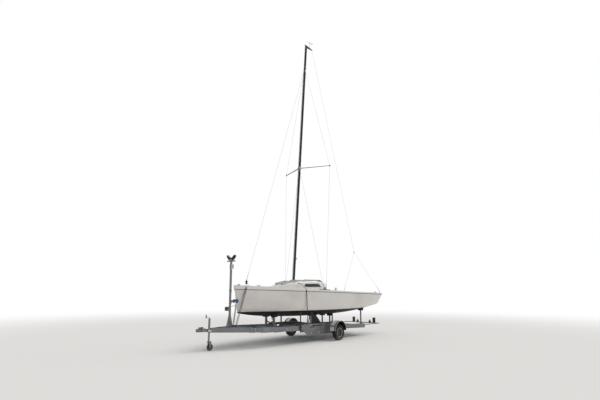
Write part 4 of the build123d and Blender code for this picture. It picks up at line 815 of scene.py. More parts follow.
# A ratchet with its roll of spare webbing, and a double hook at the strap's foot
def makeStrapGear(name, strap, foot, upper, normal, tag):
    share = (strap["ratchet"] - foot.z) / (upper.z - foot.z)
    place = framed(foot.lerp(upper, share), upper - foot, normal)
    gear = Piece(f"strap_{name}_ratchet_{tag}")
    gear.frame = place
    for side in (-0.033, 0.033):
        gear.box((side - 0.0018, -0.012, -0.075), (side + 0.0018, 0.032, 0.055), 0.001)
    gear.rod((-0.042, 0.012, 0.0), (0.042, 0.012, 0.0), 0.0115)
    gear.rod((-0.036, 0.006, -0.062), (0.036, 0.006, -0.062), 0.0055)
    gear.box((-0.030, 0.026, -0.015), (0.030, 0.034, 0.105), 0.003)
    gear.rod((-0.036, 0.034, 0.100), (0.036, 0.034, 0.100), 0.009)
    for side in (-1, 1):
        gear.turned(stepped((0, 0.026), (0.0025, 0.026)), (side * 0.037, 0.012, 0.0), (side, 0, 0), 18)
    gear.finish("steel")
    hook = Piece(f"strap_{name}_hook_{tag}")
    hook.frame = framed(foot, upper - foot, normal)
    hook.sweep([(0, 0.0, 0.075), (-0.022, 0.0, 0.045), (-0.022, 0.0, 0.005), (-0.004, 0.002, -0.012),
                (0.012, 0.006, -0.010)], 0.009)
    hook.sweep([(0, 0.0, 0.075), (0.022, 0.0, 0.045), (0.022, 0.0, 0.005), (0.004, 0.002, -0.012)], 0.009)
    hook.finish("steel")
    roll = Piece(f"strap_{name}_roll_{tag}")
    roll.frame = place
    roll.turned(symmetric([(-0.025, 0.010), (-0.025, 0.021), (-0.024, 0.0225)]), (0, 0.012, 0), (1, 0, 0), 24)
    roll.finish("strapBlack")


makeStrap("middle", straps["middle"])
for name, way in (("bow_fore", 1), ("bow_aft", -1)):
    makeStrap(name, {**straps["bow"], "shift": way * straps["bow"]["shift"]})
print("straps made")


# Rig: bottle screws, spreader roots and tips, tangs, track, halyards, sheaves and the backstay's plate

rig = {"trackLow": 2.14, "trackHigh": 11.36, "trackAft": 0.055, "trackHalf": 0.0065, "spreaderHeight": 6.190,
       "tipAcross": 1.100, "tipAft": 0.440, "hounds": 10.270, "lowerHounds": 6.100, "screw": 0.0085,
       "bridle": (2.650, 3.250), "wall": 0.0375}


def spreaderTip(side):
    height = rig["spreaderHeight"]
    return Vector((onMast(height).x + rig["tipAft"], side * rig["tipAcross"], height))


# The two legs of the backstay meet here
def bridlePlace():
    aft, height = rig["bridle"]
    return Vector((xAt(-aft), 0, height))


# Toggle, bottle screw and swaged end at the foot of a stay
def bottleScrew(made, foot, top):
    foot, top = Vector(foot), Vector(top)
    made.frame = framed(foot, top - foot)
    thick = rig["screw"]
    for cheek in (-0.0075, 0.0045):
        made.box((cheek, -0.011, -0.020), (cheek + 0.003, 0.011, 0.034), 0.001)
    made.rod((-0.012, 0, -0.008), (0.012, 0, -0.008), 0.0045)
    made.box((-0.0075, -0.009, 0.028), (0.0075, 0.009, 0.044), 0.002)
    made.turned([(0.042, 0), (0.042, 0.0045), (0.078, 0.0045), (0.078, 0.0075), (0.084, thick),
                 (0.104, thick), (0.110, 0.0105), (0.122, 0.0105), (0.128, thick), (0.176, thick),
                 (0.182, 0.0075), (0.182, 0.0045), (0.214, 0.0045), (0.214, 0.0062), (0.272, 0.0062),
                 (0.284, 0.0036), (0.284, 0)], (0, 0, 0), (0, 0, 1), 16)


# Feet of the stays, as ahead, across and up, and of the forestay over its drum
stayFeet = {"cap": (0.470, 0.985, 1.738), "lower": (0.530, 0.930, 1.738), "back": (-3.092, 0.895, 1.655),
            "forestay": (3.280, 2.004)}


def makeBottleScrews():
    fittings = Piece("bottle_screws")
    for side in (-1, 1):
        tops = {"cap": spreaderTip(side), "lower": onMast(rig["lowerHounds"], 0, side * 0.037),
                "back": bridlePlace()}
        for name, top in tops.items():
            ahead, across, height = stayFeet[name]
            bottleScrew(fittings, (xAt(ahead), side * across, height), top)
    ahead, height = stayFeet["forestay"]
    bottleScrew(fittings, (xAt(ahead), 0, height), onMast(rig["hounds"], -0.053))
    fittings.finish("steel")


def makeSpreaderBoots():
    boots = Piece("spreader_boots")
    for side in (-1, 1):
        boots.turned(symmetric([(-0.034, 0), (-0.034, 0.006), (-0.026, 0.016), (0.0, 0.021)]),
                     spreaderTip(side), (0, 0, 1), 18)
    boots.finish("rubber")


# Spreader roots with their plates, and the tangs of caps, lowers and forestay
def makeMastFittings():
    roots = Piece("mast_fittings")
    spreader, wall = rig["spreaderHeight"], rig["wall"]
    tangs = ((rig["hounds"], 0.032, 0.110), (rig["lowerHounds"], 0.026, 0.080),
             (rig["hounds"] + 0.16, 0.022, 0.060))
    for side in (-1, 1):
        out = Vector((0, side, 0))
        middle = onMast(spreader, 0.0, side * 0.036)
        roots.frame = framed(middle, spreaderTip(side) - middle, (0, 0, 1))
        roots.box((-0.040, -0.015, -0.004), (0.040, 0.015, 0.085), 0.008)
        for place in (0.030, 0.062):
            roots.bolt((0.0, 0.015, place), (0, 1, 0), 0.010, 0.005, 0.008)
        roots.frame = framed(onMast(spreader, 0.0, side * wall), out, mastUp)
        roots.box((-0.045, -0.060, -0.004), (0.045, 0.060, 0.004), 0.002)
        for height, wide, tall in tangs:
            roots.frame = framed(onMast(height, -0.004, side * wall), out, mastUp)
            roots.box((-wide / 2, -tall / 2, 0.0), (wide / 2, tall / 2, 0.004), 0.0015)
            roots.rod((0, tall * 0.3, 0), (0, tall * 0.3, 0.010), 0.006)
            roots.rod((0, -tall * 0.3, 0), (0, -tall * 0.3, 0.013), 0.008)
    roots.frame = framed(onMast(rig["hounds"], -0.050), -mastAft, mastUp)
    roots.box((-0.016, -0.060, 0.0), (0.016, 0.060, 0.012), 0.004)
    roots.finish("alloy")


def makeMastTrack():
    track = Piece("mast_track")
    low, high = onMast(rig["trackLow"], rig["trackAft"]), onMast(rig["trackHigh"], rig["trackAft"])
    for across in (-rig["trackHalf"], rig["trackHalf"]):
        shift = Vector((0, across, 0))
        track.sweep([low + shift, high + shift], 0.005, 0.008, [mastAft, mastAft])
    track.finish("mast")


# Halyards, led tight along the mast to its foot, as their top, how far aft and across, and finish
halyards = {"jib": (10.20, -0.066, 0.012, "ropeGrey"), "spinnaker": (11.30, -0.064, -0.014, "ropeWhite"),
            "main": (11.34, 0.070, 0.020, "ropeGrey")}


def makeHalyards():
    for name, (high, aft, across, material) in halyards.items():
        line = Piece(f"halyard_{name}")
        points = [onMast(height, aft, across) for height in (high, high - 0.3, 2.6)]
        line.sweep(points + [onMast(2.14, aft * 0.98, across * 1.6)], 0.008, segments=8)
        line.finish(material)


def sheave(groove):
    return symmetric([(-0.006, 0), (-0.006, 0.022), (-0.003, 0.022), (0, groove)])


def makeMastheadSheaves():
    head = Piece("masthead_sheaves")
    for aft, across in ((-0.058, -0.014), (0.058, 0.020)):
        head.turned(sheave(0.018), onMast(11.345, aft * 0.85, across), (0, 1, 0), 20)
    head.finish("alloy")


def makeBridlePlate():
    bridle = Piece("bridle_plate")
    place = bridlePlace()
    outline = ((-0.030, -0.030), (0.030, -0.030), (0.010, 0.040), (-0.010, 0.040))
    bridle.plate([place + Vector((-0.004, across, up)) for across, up in outline], (0.008, 0, 0), 0.001)
    for across, up in ((-0.018, -0.018), (0.018, -0.018), (0, 0.028)):
        bridle.rod(place + Vector((-0.010, across, up)), place + Vector((0.010, across, up)), 0.005)
    bridle.finish("steel")


makeBottleScrews()
makeSpreaderBoots()
makeMastFittings()
makeMastTrack()
makeHalyards()
makeMastheadSheaves()
makeBridlePlate()
print("rigging dressed")


# Deck gear

deckGear = {"cleatFore": (2.98, 0.245, 0.28), "cleatAft": (-2.93, 0.80, 0.05), "clutchAhead": 0.06,
            "clutchAcross": (0.335, 0.385), "leadAhead": 0.92, "carAhead": 0.27, "trackAcross": 0.760,
            "trackAhead": -0.100, "trackTop": 1.714, "trackSlope": 0.030, "travellerAhead": -1.460,
            "travellerTop": 1.353, "strapAcross": 0.235, "joint": (3.745, -3.150), "jointSteps": 69}


def makeCleat(made, ahead, across, turn):
    foot = onDeck(ahead, across)
    along = Vector((math.cos(turn), math.sin(turn), 0))
    tilt = (onDeck(ahead - 0.06, across) - onDeck(ahead + 0.06, across)).normalized()
    up = tilt.cross(Vector((0, 1, 0))).normalized() * -1
    up = up if up.z > 0 else -up
    made.frame = framed(foot, up, up.cross(along))
    made.box((-0.052, -0.014, -0.002), (0.052, 0.014, 0.006), 0.003)
    for place in (-0.026, 0.026):
        made.rod((place, 0, 0.004), (place * 0.85, 0, 0.030), 0.010, 0.008)
    made.sweep([(-0.088, 0, 0.037), (-0.070, 0, 0.036), (-0.030, 0, 0.032), (0.030, 0, 0.032),
                (0.070, 0, 0.036), (0.088, 0, 0.037)], 0.014, segments=12)


def makeCleats():
    cleats = Piece("mooring_cleats")
    for side in (-1, 1):
        for name in ("cleatFore", "cleatAft"):
            ahead, across, turn = deckGear[name]
            makeCleat(cleats, ahead, side * across, side * turn)
    cleats.finish("alloy")


# Stemhead plate over the bow, turned down along the stem, with the bow eye below it
def makeStemhead():
    stem = Piece("stemhead_plate")
    tops = [onDeck(ahead, 0.0, 0.003) for ahead in (3.50, 3.60, 3.68, 3.74)]
    front = [Vector((xAt(3.786 - 0.1584 * drop), 0, 1.842 - drop)) for drop in (0.0, 0.05, 0.16)]
    ups = [(0, 0, 1)] * 3 + [(-0.35, 0, 0.94), (-0.9, 0, 0.44)] + [(-0.98, 0, -0.15)] * 2
    stem.sweep(tops + front, 0.046, 0.005, ups)
    for side in (-1, 1):
        stem.box((xAt(3.640), side * 0.014 - 0.0025, tops[1].z - 0.004),
                 (xAt(3.560), side * 0.014 + 0.0025, tops[1].z + 0.040), 0.001)
    stem.rod((xAt(3.60), -0.022, tops[1].z + 0.024), (xAt(3.60), 0.022, tops[1].z + 0.024), 0.005)
    eye = Vector((xAt(3.690), 0, 1.245))
    bends = ((0.012, 0.030), (-0.028, 0.026), (-0.040, 0.0), (-0.028, -0.026), (0.020, -0.030))
    stem.sweep([eye + Vector((aft, 0, up)) for aft, up in bends], 0.010)
    stem.finish("steel")


# Rubbing strip where deck and hull join
def makeJointStrips():
    fore, aft = deckGear["joint"]
    for side, tag in sides:
        places = []
        for step in range(deckGear["jointSteps"] + 1):
            ahead = fore - step * (fore - aft) / deckGear["jointSteps"]
            found = fromSide(ahead, seamAt(ahead) + 0.004, side)
            if found:
                places.append(found[0] + Vector((0, side * 0.001, -0.004)))
        strip = Piece(f"joint_strip_{tag}")
        strip.sweep(places, 0.018, 0.008, [(0, side, 0)] * len(places))
        strip.finish("jointRubber")


# Clutches, leads and the lines that run aft over the roof
def makeClutches():
    clutches, leads = Piece("rope_clutches"), Piece("deck_leads")
    places = [(side, across) for side in (-1, 1) for across in deckGear["clutchAcross"]]
    for index, (side, across) in enumerate(places):
        ahead = deckGear["clutchAhead"]
        clutches.frame = framed(onDeck(ahead, side * across), (0, 0, 1), (0, 1, 0))
        clutches.box((-0.062, -0.018, -0.004), (0.062, 0.018, 0.030), 0.006)
        clutches.box((-0.050, -0.011, 0.028), (0.042, 0.011, 0.042), 0.005)
        lead = onDeck(deckGear["leadAhead"], side * (across - 0.04))
        leads.frame = Matrix.Translation(lead)
        leads.box((-0.030, -0.014, -0.003), (0.030, 0.014, 0.004), 0.002)
        leads.turned(sheave(0.019), (0, 0, 0.012), (0, 0, 1), 20)
        leads.rod((0, 0, 0), (0, 0, 0.024), 0.005)
        fore, aft = onDeck(ahead + 0.05, side * across), onDeck(ahead - 0.05, side * across)
        line = Piece(f"control_line_{index + 1}")
        line.sweep([onMast(2.10, -0.02, side * 0.055) + Vector((0.03, side * 0.02, -0.07)),
                    lead + Vector((-0.022, 0, 0.013)), lead + Vector((0.004, side * 0.021, 0.013)),
                    onDeck(0.60, side * (across - 0.012), 0.011), fore + Vector((0, 0, 0.017)),
                    aft + Vector((0, 0, 0.017)), aft + Vector((0.05, 0, -0.004))], 0.008, segments=8)
        line.finish("ropeGrey" if index % 2 else "ropeWhite")
    clutches.finish("blackPlastic")
    leads.finish("alloy")


# Jib cars on their tracks, which rise towards the bow, and the traveller's car
def makeCars():
    cars = Piece("track_cars")
    ahead = deckGear["carAhead"]
    for side in (-1, 1):
        trackTop = deckGear["trackTop"] + (ahead - deckGear["trackAhead"]) * deckGear["trackSlope"]
        cars.frame = Matrix.Translation(Vector((xAt(ahead), side * deckGear["trackAcross"], trackTop)))
        cars.box((-0.045, -0.021, -0.006), (0.045, 0.021, 0.014), 0.004)
        cars.box((-0.012, -0.012, 0.012), (0.012, 0.012, 0.026), 0.003)
        cars.turned(symmetric([(-0.012, 0), (-0.012, 0.026), (-0.009, 0.028), (-0.007, 0.024)]),
                    (0.012, 0, 0.048), (0, 1, 0), 24)
    cars.frame = Matrix.Translation(Vector((xAt(deckGear["travellerAhead"]), 0.0, deckGear["travellerTop"])))
    cars.box((-0.030, -0.062, -0.004), (0.030, 0.062, 0.018), 0.005)
    cars.turned(stepped((0, 0.020), (0.014, 0.018), (0.018, 0.012)), (0, 0, 0.018), (0, 0, 1), 20)
    for across in (-0.018, 0.018):
        cars.turned(symmetric([(-0.010, 0), (-0.010, 0.028), (-0.007, 0.030), (-0.005, 0.025)]),
                    (0, across, 0.066), (0, 1, 0), 24)
    cars.box((-0.004, -0.030, 0.030), (0.004, 0.030, 0.070), 0.002)
    cars.finish("blackPlastic")


# Toe straps, held tight between their ends on the cockpit sole, as ahead and height over the sole
toeStraps = (((-0.50, 0.004), (-0.56, 0.020), (-0.66, 0.045), (-0.95, 0.062), (-1.30, 0.056), (-1.38, 0.050)),
             ((-1.54, 0.050), (-1.64, 0.057), (-2.10, 0.064), (-2.55, 0.046), (-2.66, 0.020), (-2.72, 0.004)))


def makeToeStraps():
    for side, tag in sides:
        toe = Piece(f"toe_strap_{tag}")
        across = side * deckGear["strapAcross"]
        sole = onDeck(-1.8, across).z
        for bends in toeStraps:
            toe.sweep([(xAt(ahead), across, sole + rise) for ahead, rise in bends], 0.050, 0.004,
                      [(0, 0, 1)] * len(bends))
        toe.finish("strapBlack")


makeCleats()
makeStemhead()
makeJointStrips()
makeClutches()
makeCars()
makeToeStraps()

# Seals round the side windows, covers in the sole, trim round the companionway and the forehatch's latches
openings = {"window": ((1.065, 1.838), (1.000, 1.900), (0.360, 1.906), (0.265, 1.815), (1.010, 1.812)),
            "windowCentre": (0.670, 1.860), "grow": (1.028, 1.20), "seal": 0.011, "sealSteps": 6,
            "companionAft": -0.060, "companionHalf": 0.262, "companionTop": 1.975, "sill": 1.722,
            "covers": (-0.85, -2.25), "cover": 0.085, "latchAhead": 1.400, "latchAcross": 0.135}


# The seal lies just outside the window's outline
def makeWindowSeals():
    seals = Piece("window_seals")
    corners = [[middle + (place - middle) * grow for place, middle, grow in
                zip(corner, openings["windowCentre"], openings["grow"])] for corner in openings["window"]]
    steps = openings["sealSteps"]
    for side in (-1, 1):
        points = []
        for (ahead, height), (nextAhead, nextHeight) in zip(corners, corners[1:] + corners[:1]):
            for share in (step / steps for step in range(steps)):
                points.append(fromSide(ahead + share * (nextAhead - ahead),
                                       height + share * (nextHeight - height), side, ("deck",))[0])
        seals.sweep(points, openings["seal"], 0.008, [(0, side * 0.95, 0.31)] * len(points), closed=True)
    seals.finish("jointRubber")


def makeSoleCovers():
    covers = Piece("sole_covers")
    radius = openings["cover"]
    for ahead in openings["covers"]:
        foot = onDeck(ahead, 0.0)
        covers.turned(stepped((0, radius), (0.005, radius), (0.007, radius - 0.003), (0.007, radius - 0.014),
                              (0.004, radius - 0.016), (0.004, 0.030), (0.006, 0.028)), foot, (0, 0, 1), 40)
        covers.box(foot + Vector((-0.030, -0.005, 0.005)), foot + Vector((0.030, 0.005, 0.010)), 0.002)
    covers.finish("guardBead")


def makeCompanionwayTrim():
    trim = Piece("companionway_trim")
    x, half = xAt(openings["companionAft"]), openings["companionHalf"]
    low, high = openings["sill"], openings["companionTop"]
    trim.sweep([(x, -half, high), (x, -half, low), (x, half, low), (x, half, high)], 0.022, 0.010,
               [(1, 0, 0)] * 4)
    trim.finish("alloy")


def makeHatchLatches():
    latches = Piece("forehatch_latches")
    for across in (-openings["latchAcross"], openings["latchAcross"]):
        place, up, _ = fromAbove(openings["latchAhead"], across, ("forehatch_frame", "forehatch_pane"))
        latches.frame = identity
        latches.turned(stepped((0, 0.017), (0.006, 0.016), (0.010, 0.010)), place, up, 20)
        latches.frame = framed(place + up * 0.008, up, (0, 1, 0))
        latches.box((-0.022, -0.006, 0.0), (0.022, 0.006, 0.007), 0.002)
    latches.finish("blackPlastic", "forehatch")


makeWindowSeals()
makeSoleCovers()
makeCompanionwayTrim()
makeHatchLatches()
print("deck gear made")

# Trailer: roller, crutch, lashings, clamps, bolts, mudguards, guide posts, lamps, coupling and jockey wheel

trailer = {"topAtAxle": 0.495, "rise": 0.0288, "railOuter": 0.780, "plateOuter": 0.788,
           "beams": (3.150, 2.220, 0.980, 0.450, -1.050, -2.000), "noseBeam": 3.150, "slotBeam": 0.980,
           "plateEnds": (-0.43, 1.56), "post": 3.925, "postHalf": 0.025}


def frameTop(ahead):
    return trailer["topAtAxle"] + trailer["rise"] * ahead


# The bow rests against a waisted roller on a pin between two cheeks
bowRoller = {"ahead": 3.7145, "height": 1.365, "half": 0.082, "radius": 0.058, "waist": 0.016, "cheek": 0.088,
             "pin": 0.009, "plate": 0.006}


def makeBowRoller():
    centre = Vector((xAt(bowRoller["ahead"]), 0, bowRoller["height"]))
    half, radius, waist = bowRoller["half"], bowRoller["radius"], bowRoller["waist"]
    roller = Piece("bow_roller")
    outline = [(-half, bowRoller["pin"]), (-half, radius - 0.008), (-half + 0.004, radius - 0.002),
               (-half + 0.012, radius), (-half + 0.034, radius - 0.003), (-0.030, 0.036),
               (-0.014, waist + 0.006), (0.0, waist)]
    roller.turned(symmetric(outline), centre, (0, 1, 0), 40)
    roller.finish("blueRubber", slot="blue_rubber", replaces=["bow_chock"])


def makeRollerBracket():
    centre = Vector((xAt(bowRoller["ahead"]), 0, bowRoller["height"]))
    cheek, thick, pin = bowRoller["cheek"], bowRoller["plate"], bowRoller["pin"]
    bracket = Piece("bow_roller_bracket")
    fore, aft = xAt(trailer["post"] - trailer["postHalf"]) + 0.030, centre.x + 0.020
    corners = ((aft, -0.014), (aft, 0.006), (fore, 0.006), (fore, -0.030))
    for side in (-1, 1):
        bracket.plate([(x, side * cheek, centre.z + up) for x, up in corners], (0, side * thick, 0), 0.0015)
        bracket.bolt(centre + Vector((0, side * (cheek + thick), 0)), (0, side, 0), 0.024, 0.011, 0.017)
    bracket.box((fore - thick, -cheek - thick, centre.z - 0.030),
                (fore + 0.002, cheek + thick, centre.z + 0.030), 0.001)
    bracket.rod(centre - Vector((0, cheek, 0)), centre + Vector((0, cheek, 0)), pin - 0.0005)
    bracket.finish("zinc")


crutch = {"valley": 2.652, "top": 2.752, "reach": 0.192, "width": 0.066, "thick": 0.016, "ratchet": 2.405,
          "lashing": 1.660, "turns": 6, "steps": 16, "shares": (0.08, 0.25, 0.5, 0.75, 1.0),
          "flat": 0.08, "sleeve": ((0.070, 2.640), (0.120, 2.688), (0.172, 2.738))}


# Padding along the crutch's two horns, with a sleeve round each
def makeCrutchPadding():
    x = xAt(trailer["post"])
    pad = Piece("crutch_padding")
    points, normals = [], []
    for across in [-share for share in reversed(crutch["shares"])] + list(crutch["shares"]):
        share = max(abs(across) - crutch["flat"], 0.0) / (1 - crutch["flat"])
        height = crutch["valley"] + 0.006 + (crutch["top"] - crutch["valley"]) * share
        points.append((x, across * crutch["reach"], height))
        normals.append(Vector((0, -0.46 * across, 1)).normalized())
    pad.sweep(points, crutch["width"], crutch["thick"], normals)
    for side in (-1, 1):
        sleeve = [(x, side * across, height) for across, height in crutch["sleeve"]]
        pad.sweep(sleeve, 0.070, 0.066, [(0, side * 0.72, -0.69)] * len(sleeve))
    pad.finish("rubber")


# Two turns of strap round the post, and their ratchet
def makePostStrap():
    x, half = xAt(trailer["post"]), trailer["postHalf"] + 0.003
    turns = Piece("post_strap")
    corners = ((-1, -1), (1, -1), (1, 1), (-1, 1))
    for rise in (-0.034, 0.034):
        turns.sweep([(x + px * half, py * half, crutch["ratchet"] + rise) for px, py in corners],
                    0.050, 0.005, [Vector((px, py, 0)).normalized() for px, py in corners], closed=True)
    turns.finish("strapBlack")
    ratchet = Piece("post_ratchet")
    ratchet.frame = framed((x, -half - 0.006, crutch["ratchet"]), (0, -1, 0), (0, 0, 1))
    for cheek in (-0.040, 0.036):
        ratchet.box((cheek, -0.060, 0.0), (cheek + 0.004, 0.070, 0.045), 0.001)
    ratchet.rod((-0.050, 0.0, 0.022), (0.050, 0.0, 0.022), 0.014)
    ratchet.box((-0.034, -0.080, 0.040), (0.034, 0.040, 0.048), 0.003)
    ratchet.rod((-0.045, -0.080, 0.046), (0.045, -0.080, 0.046), 0.011)
    ratchet.finish("steel")


# Green rope wound round the post, closer in on its flats
def makePostLashing():
    x, half = xAt(trailer["post"]), trailer["postHalf"] + 0.005
    green = Piece("post_lashing")
    points = []
    for turn in (step / crutch["steps"] for step in range(crutch["turns"] * crutch["steps"] + 1)):
        angle = math.tau * turn
        reach = half / max(abs(math.cos(angle)), abs(math.sin(angle)), 0.78)
        points.append((x + math.cos(angle) * reach, math.sin(angle) * reach,
                       crutch["lashing"] + 0.052 - 0.0105 * turn + 0.002 * math.sin(angle * 0.37)))
    green.sweep(points, 0.0095, segments=8)
    green.finish("ropeGreen")


# The winch's rope is wound on its drum and led past the post to the bow eye
winchRope = {"ahead": 4.020, "height": 1.140, "drum": 0.030, "half": 0.050, "rope": 0.007, "steps": 14,
             "eyeAhead": 3.731, "eyeAcross": 0.004, "eyeHeight": 1.226}


def makeWinchRope():
    centre = Vector((xAt(winchRope["ahead"]), 0, winchRope["height"]))
    thick, steps = winchRope["rope"], winchRope["steps"]
    wound = Piece("winch_rope")
    turns = int(winchRope["half"] * 2 / thick) - 1
    for layer in range(2):
        radius = winchRope["drum"] + thick * (0.5 + layer * 0.87)
        points = []
        for turn in (step / steps for step in range((turns - layer) * steps + 1)):
            angle = math.tau * turn
            points.append(centre + Vector((math.cos(angle) * radius,
                                           -winchRope["half"] + thick * (0.8 + layer * 0.5 + turn),
                                           math.sin(angle) * radius)))
        wound.sweep(points, thick, segments=6)
    leave = centre + Vector((0.010, 0.040, winchRope["drum"] + thick * 2))
    eye = Vector((xAt(winchRope["eyeAhead"]), winchRope["eyeAcross"], winchRope["eyeHeight"]))
    wound.sweep([leave, leave.lerp(eye, 0.5), eye], thick, segments=8)
    wound.finish("ropeDark")
    hook = Piece("winch_hook")
    along = (leave - eye).normalized()
    bends = ((-0.004, 0.016), (0.018, 0.004), (0.012, -0.014), (-0.010, -0.012))
    hook.sweep([eye + along * 0.060, eye + along * 0.030 + Vector((0, 0.0, 0.010))]
               + [eye + Vector((aft, 0, up)) for aft, up in bends], 0.010)
    hook.rod(eye + along * 0.050, eye + along * 0.095, 0.009)
    hook.finish("steel")


makeBowRoller()
makeRollerBracket()
makeCrutchPadding()
makePostStrap()
makePostLashing()
makeWinchRope()
print("bow gear made")

# Clamps round the feet of the support posts, given as ahead and across
posts = {"places": ((2.220, 0.200), (0.980, 0.700), (-2.000, 0.700)), "sleeve": 0.056, "wall": 0.004,
         "height": 0.085}


def makePostClamps():
    sleeves, screws = Piece("post_sleeves"), Piece("post_screws")
    half, wall = posts["sleeve"] / 2, posts["wall"]
    feet = [(side, Vector((xAt(ahead), side * across, frameTop(ahead) - 0.040)))
            for ahead, across in posts["places"] for side in (-1, 1)]
    for side, foot in feet:
        for px, py in ((-1, 0), (1, 0), (0, -1), (0, 1)):
            middle = foot + Vector((px * half, py * half, 0))
            reach = Vector((wall if px else half, wall if py else half, 0))
            sleeves.box(middle - reach, middle + reach + Vector((0, 0, posts["height"])), 0.0015)
        for way in (-1, 1):
            near, far = foot.x + way * half, foot.x + way * (half + 0.060)
            sleeves.plate([(x, foot.y - 0.003, foot.z + up) for x, up in
                           ((near, 0.040), (far, 0.006), (near, 0.006))], (0, 0.006, 0))
            screws.bolt(foot + Vector((way * (half + wall), 0, 0.058)), (way, 0, 0), 0.017, 0.010, 0.0)
        # T handle on the outer side
        start = foot + Vector((0, side * (half + 0.003), 0.060))
        end = start + Vector((0, side * 0.050, 0))
        screws.rod(start, end, 0.006)
        screws.rod(end - Vector((0.034, 0, 0)), end + Vector((0.034, 0, 0)), 0.0055)
        screws.bolt(start, (0, side, 0), 0.020, 0.010, 0.0)
    sleeves.finish("zinc")
    screws.finish("steel")


# Bolts through rails and side plates: rows under the top edge, and the plate's own as ahead and height
frameBolts = {"rows": (-0.097, -0.053), "pair": 0.022, "nose": (3.24, 3.06), "noseDrop": 0.075,
              "plate": ((1.46, 0.505), (1.25, 0.535), (0.80, 0.535), (0.62, 0.470), (0.25, 0.530),
                        (0.05, 0.500), (-0.20, 0.470), (-0.36, 0.440), (1.10, 0.430), (-0.20, 0.330),
                        (0.25, 0.400))}


def makeFrameBolts():
    bolts = Piece("frame_bolts")
    plateAft, plateFore = trailer["plateEnds"]
    for side in (-1, 1):
        out = (0, side, 0)
        for ahead in trailer["beams"]:
            face = trailer["plateOuter"] if plateAft < ahead < plateFore else trailer["railOuter"]
            rows = frameBolts["rows"][:1] if ahead == trailer["slotBeam"] else frameBolts["rows"]
            for along in (-frameBolts["pair"], frameBolts["pair"]):
                for rise in rows:
                    bolts.bolt((xAt(ahead + along), side * face, frameTop(ahead) + rise), out)
        for ahead, height in frameBolts["plate"]:
            bolts.bolt((xAt(ahead), side * trailer["plateOuter"], height), out, 0.017, 0.008)
        for ahead in frameBolts["nose"]:
            height = frameTop(ahead) - frameBolts["noseDrop"]
            bolts.bolt((xAt(ahead), side * trailer["railOuter"], height), out, 0.024, 0.012)
    bolts.finish("steel")


# Corner plates where crossbeams meet the rails
def makeGussets():
    gussets = Piece("frame_gussets")
    for side in (-1, 1):
        for ahead, way in ((ahead, way) for ahead in trailer["beams"] for way in (-1, 1)):
            if ahead == trailer["noseBeam"] and way > 0:
                continue
            start, top = ahead + way * 0.036, frameTop(ahead) - 0.046
            gussets.plate([(xAt(start), side * 0.722, top), (xAt(start), side * 0.622, top),
                           (xAt(start + way * 0.100), side * 0.722, top)], (0, 0, -0.006))
    gussets.finish("zinc")


# Two crossed flats between the forward posts
def makePostBrace():
    brace = Piece("post_brace")
    x, half, low, high = xAt(2.220), 0.190, 0.555, 0.705
    for way in (-1, 1):
        ends = [Vector((x + way * 0.024, -way * half, low)), Vector((x + way * 0.024, way * half, high))]
        brace.sweep(ends, 0.036, 0.006, [(1, 0, 0)] * 2)
        for end in ends:
            brace.bolt((end.x + way * 0.003, end.y * 0.97, end.z), (way, 0, 0), 0.017, 0.008)
    brace.finish("epoxy")


makePostClamps()
makeFrameBolts()
makeGussets()
makePostBrace()

guards = {"centre": 0.350, "radius": 0.3055, "inner": 1.007, "outer": 1.243, "bead": 0.012, "steps": 40,
          "foot": 0.322, "panel": 1.0135, "panelInner": 0.125, "panelOuter": 0.3005, "panelThick": 0.004,
          "panelBolts": (40, 90, 140), "boltAcross": 1.016, "boltRadius": 0.285, "stayAngles": (25, 155),
          "stayAcross": (1.035, 1.075)}


# A place on a mudguard's arch, by its angle from the forward end, with the way outward
def onArch(angle, across, radius):
    out = Vector((-math.cos(angle), 0, math.sin(angle)))
    return Vector((axleX, across, guards["centre"])) + out * radius, out


# A splash panel closes each arch on its inner side
def makeSplashPanels():
    for side, tag in sides:
        panel = Piece(f"splash_panel_{tag}")
        part = bmesh.new()
        bmesh.ops.create_circle(part, cap_ends=False, segments=80, radius=guards["panelInner"])
        pushed = bmesh.ops.extrude_edge_only(part, edges=part.edges[:])["geom"]
        grow = guards["panelOuter"] / guards["panelInner"]
        bmesh.ops.scale(part, vec=[grow, grow, 1], verts=vertsOf(pushed))
        bmesh.ops.bisect_plane(part, geom=part.verts[:] + part.edges[:] + part.faces[:], plane_co=(0, 0, 0),
                               plane_no=(0, -1, 0), clear_outer=True)
        bmesh.ops.solidify(part, geom=part.faces[:], thickness=guards["panelThick"])
        bmesh.ops.transform(part, matrix=Matrix.Translation((axleX, side * guards["panel"], guards["centre"]))
                            @ Matrix.Rotation(math.pi / 2, 4, "X"), verts=part.verts)
        panel.take(part)
        for degrees in guards["panelBolts"]:
            place = onArch(math.radians(degrees), side * guards["boltAcross"], guards["boltRadius"])[0]
            panel.bolt(place, (0, side, 0), 0.010, 0.004, 0.009)
        panel.finish("blackPlastic")


# A rolled bead runs round both edges of each mudguard, and bolts hold it to its stays
def makeGuardBeads():
    low = math.asin((guards["foot"] - guards["centre"]) / guards["radius"])
    angles = [low + (math.pi - 2 * low) * step / guards["steps"] for step in range(guards["steps"] + 1)]
    for side, tag in sides:
        bead = Piece(f"mudguard_bead_{tag}")
        for across in (guards["inner"] + 0.003, guards["outer"] - 0.003):
            places = [onArch(angle, side * across, guards["radius"]) for angle in angles]
            bead.sweep([place for place, out in places], guards["bead"], segments=8)
        bead.finish("guardBead")
        rivets = Piece(f"mudguard_bolts_{tag}")
        for degrees in guards["stayAngles"]:
            for across in guards["stayAcross"]:
                place, out = onArch(math.radians(degrees), side * across, guards["radius"])
                rivets.bolt(place, out, 0.015, 0.006, 0.012)
        rivets.finish("steel")


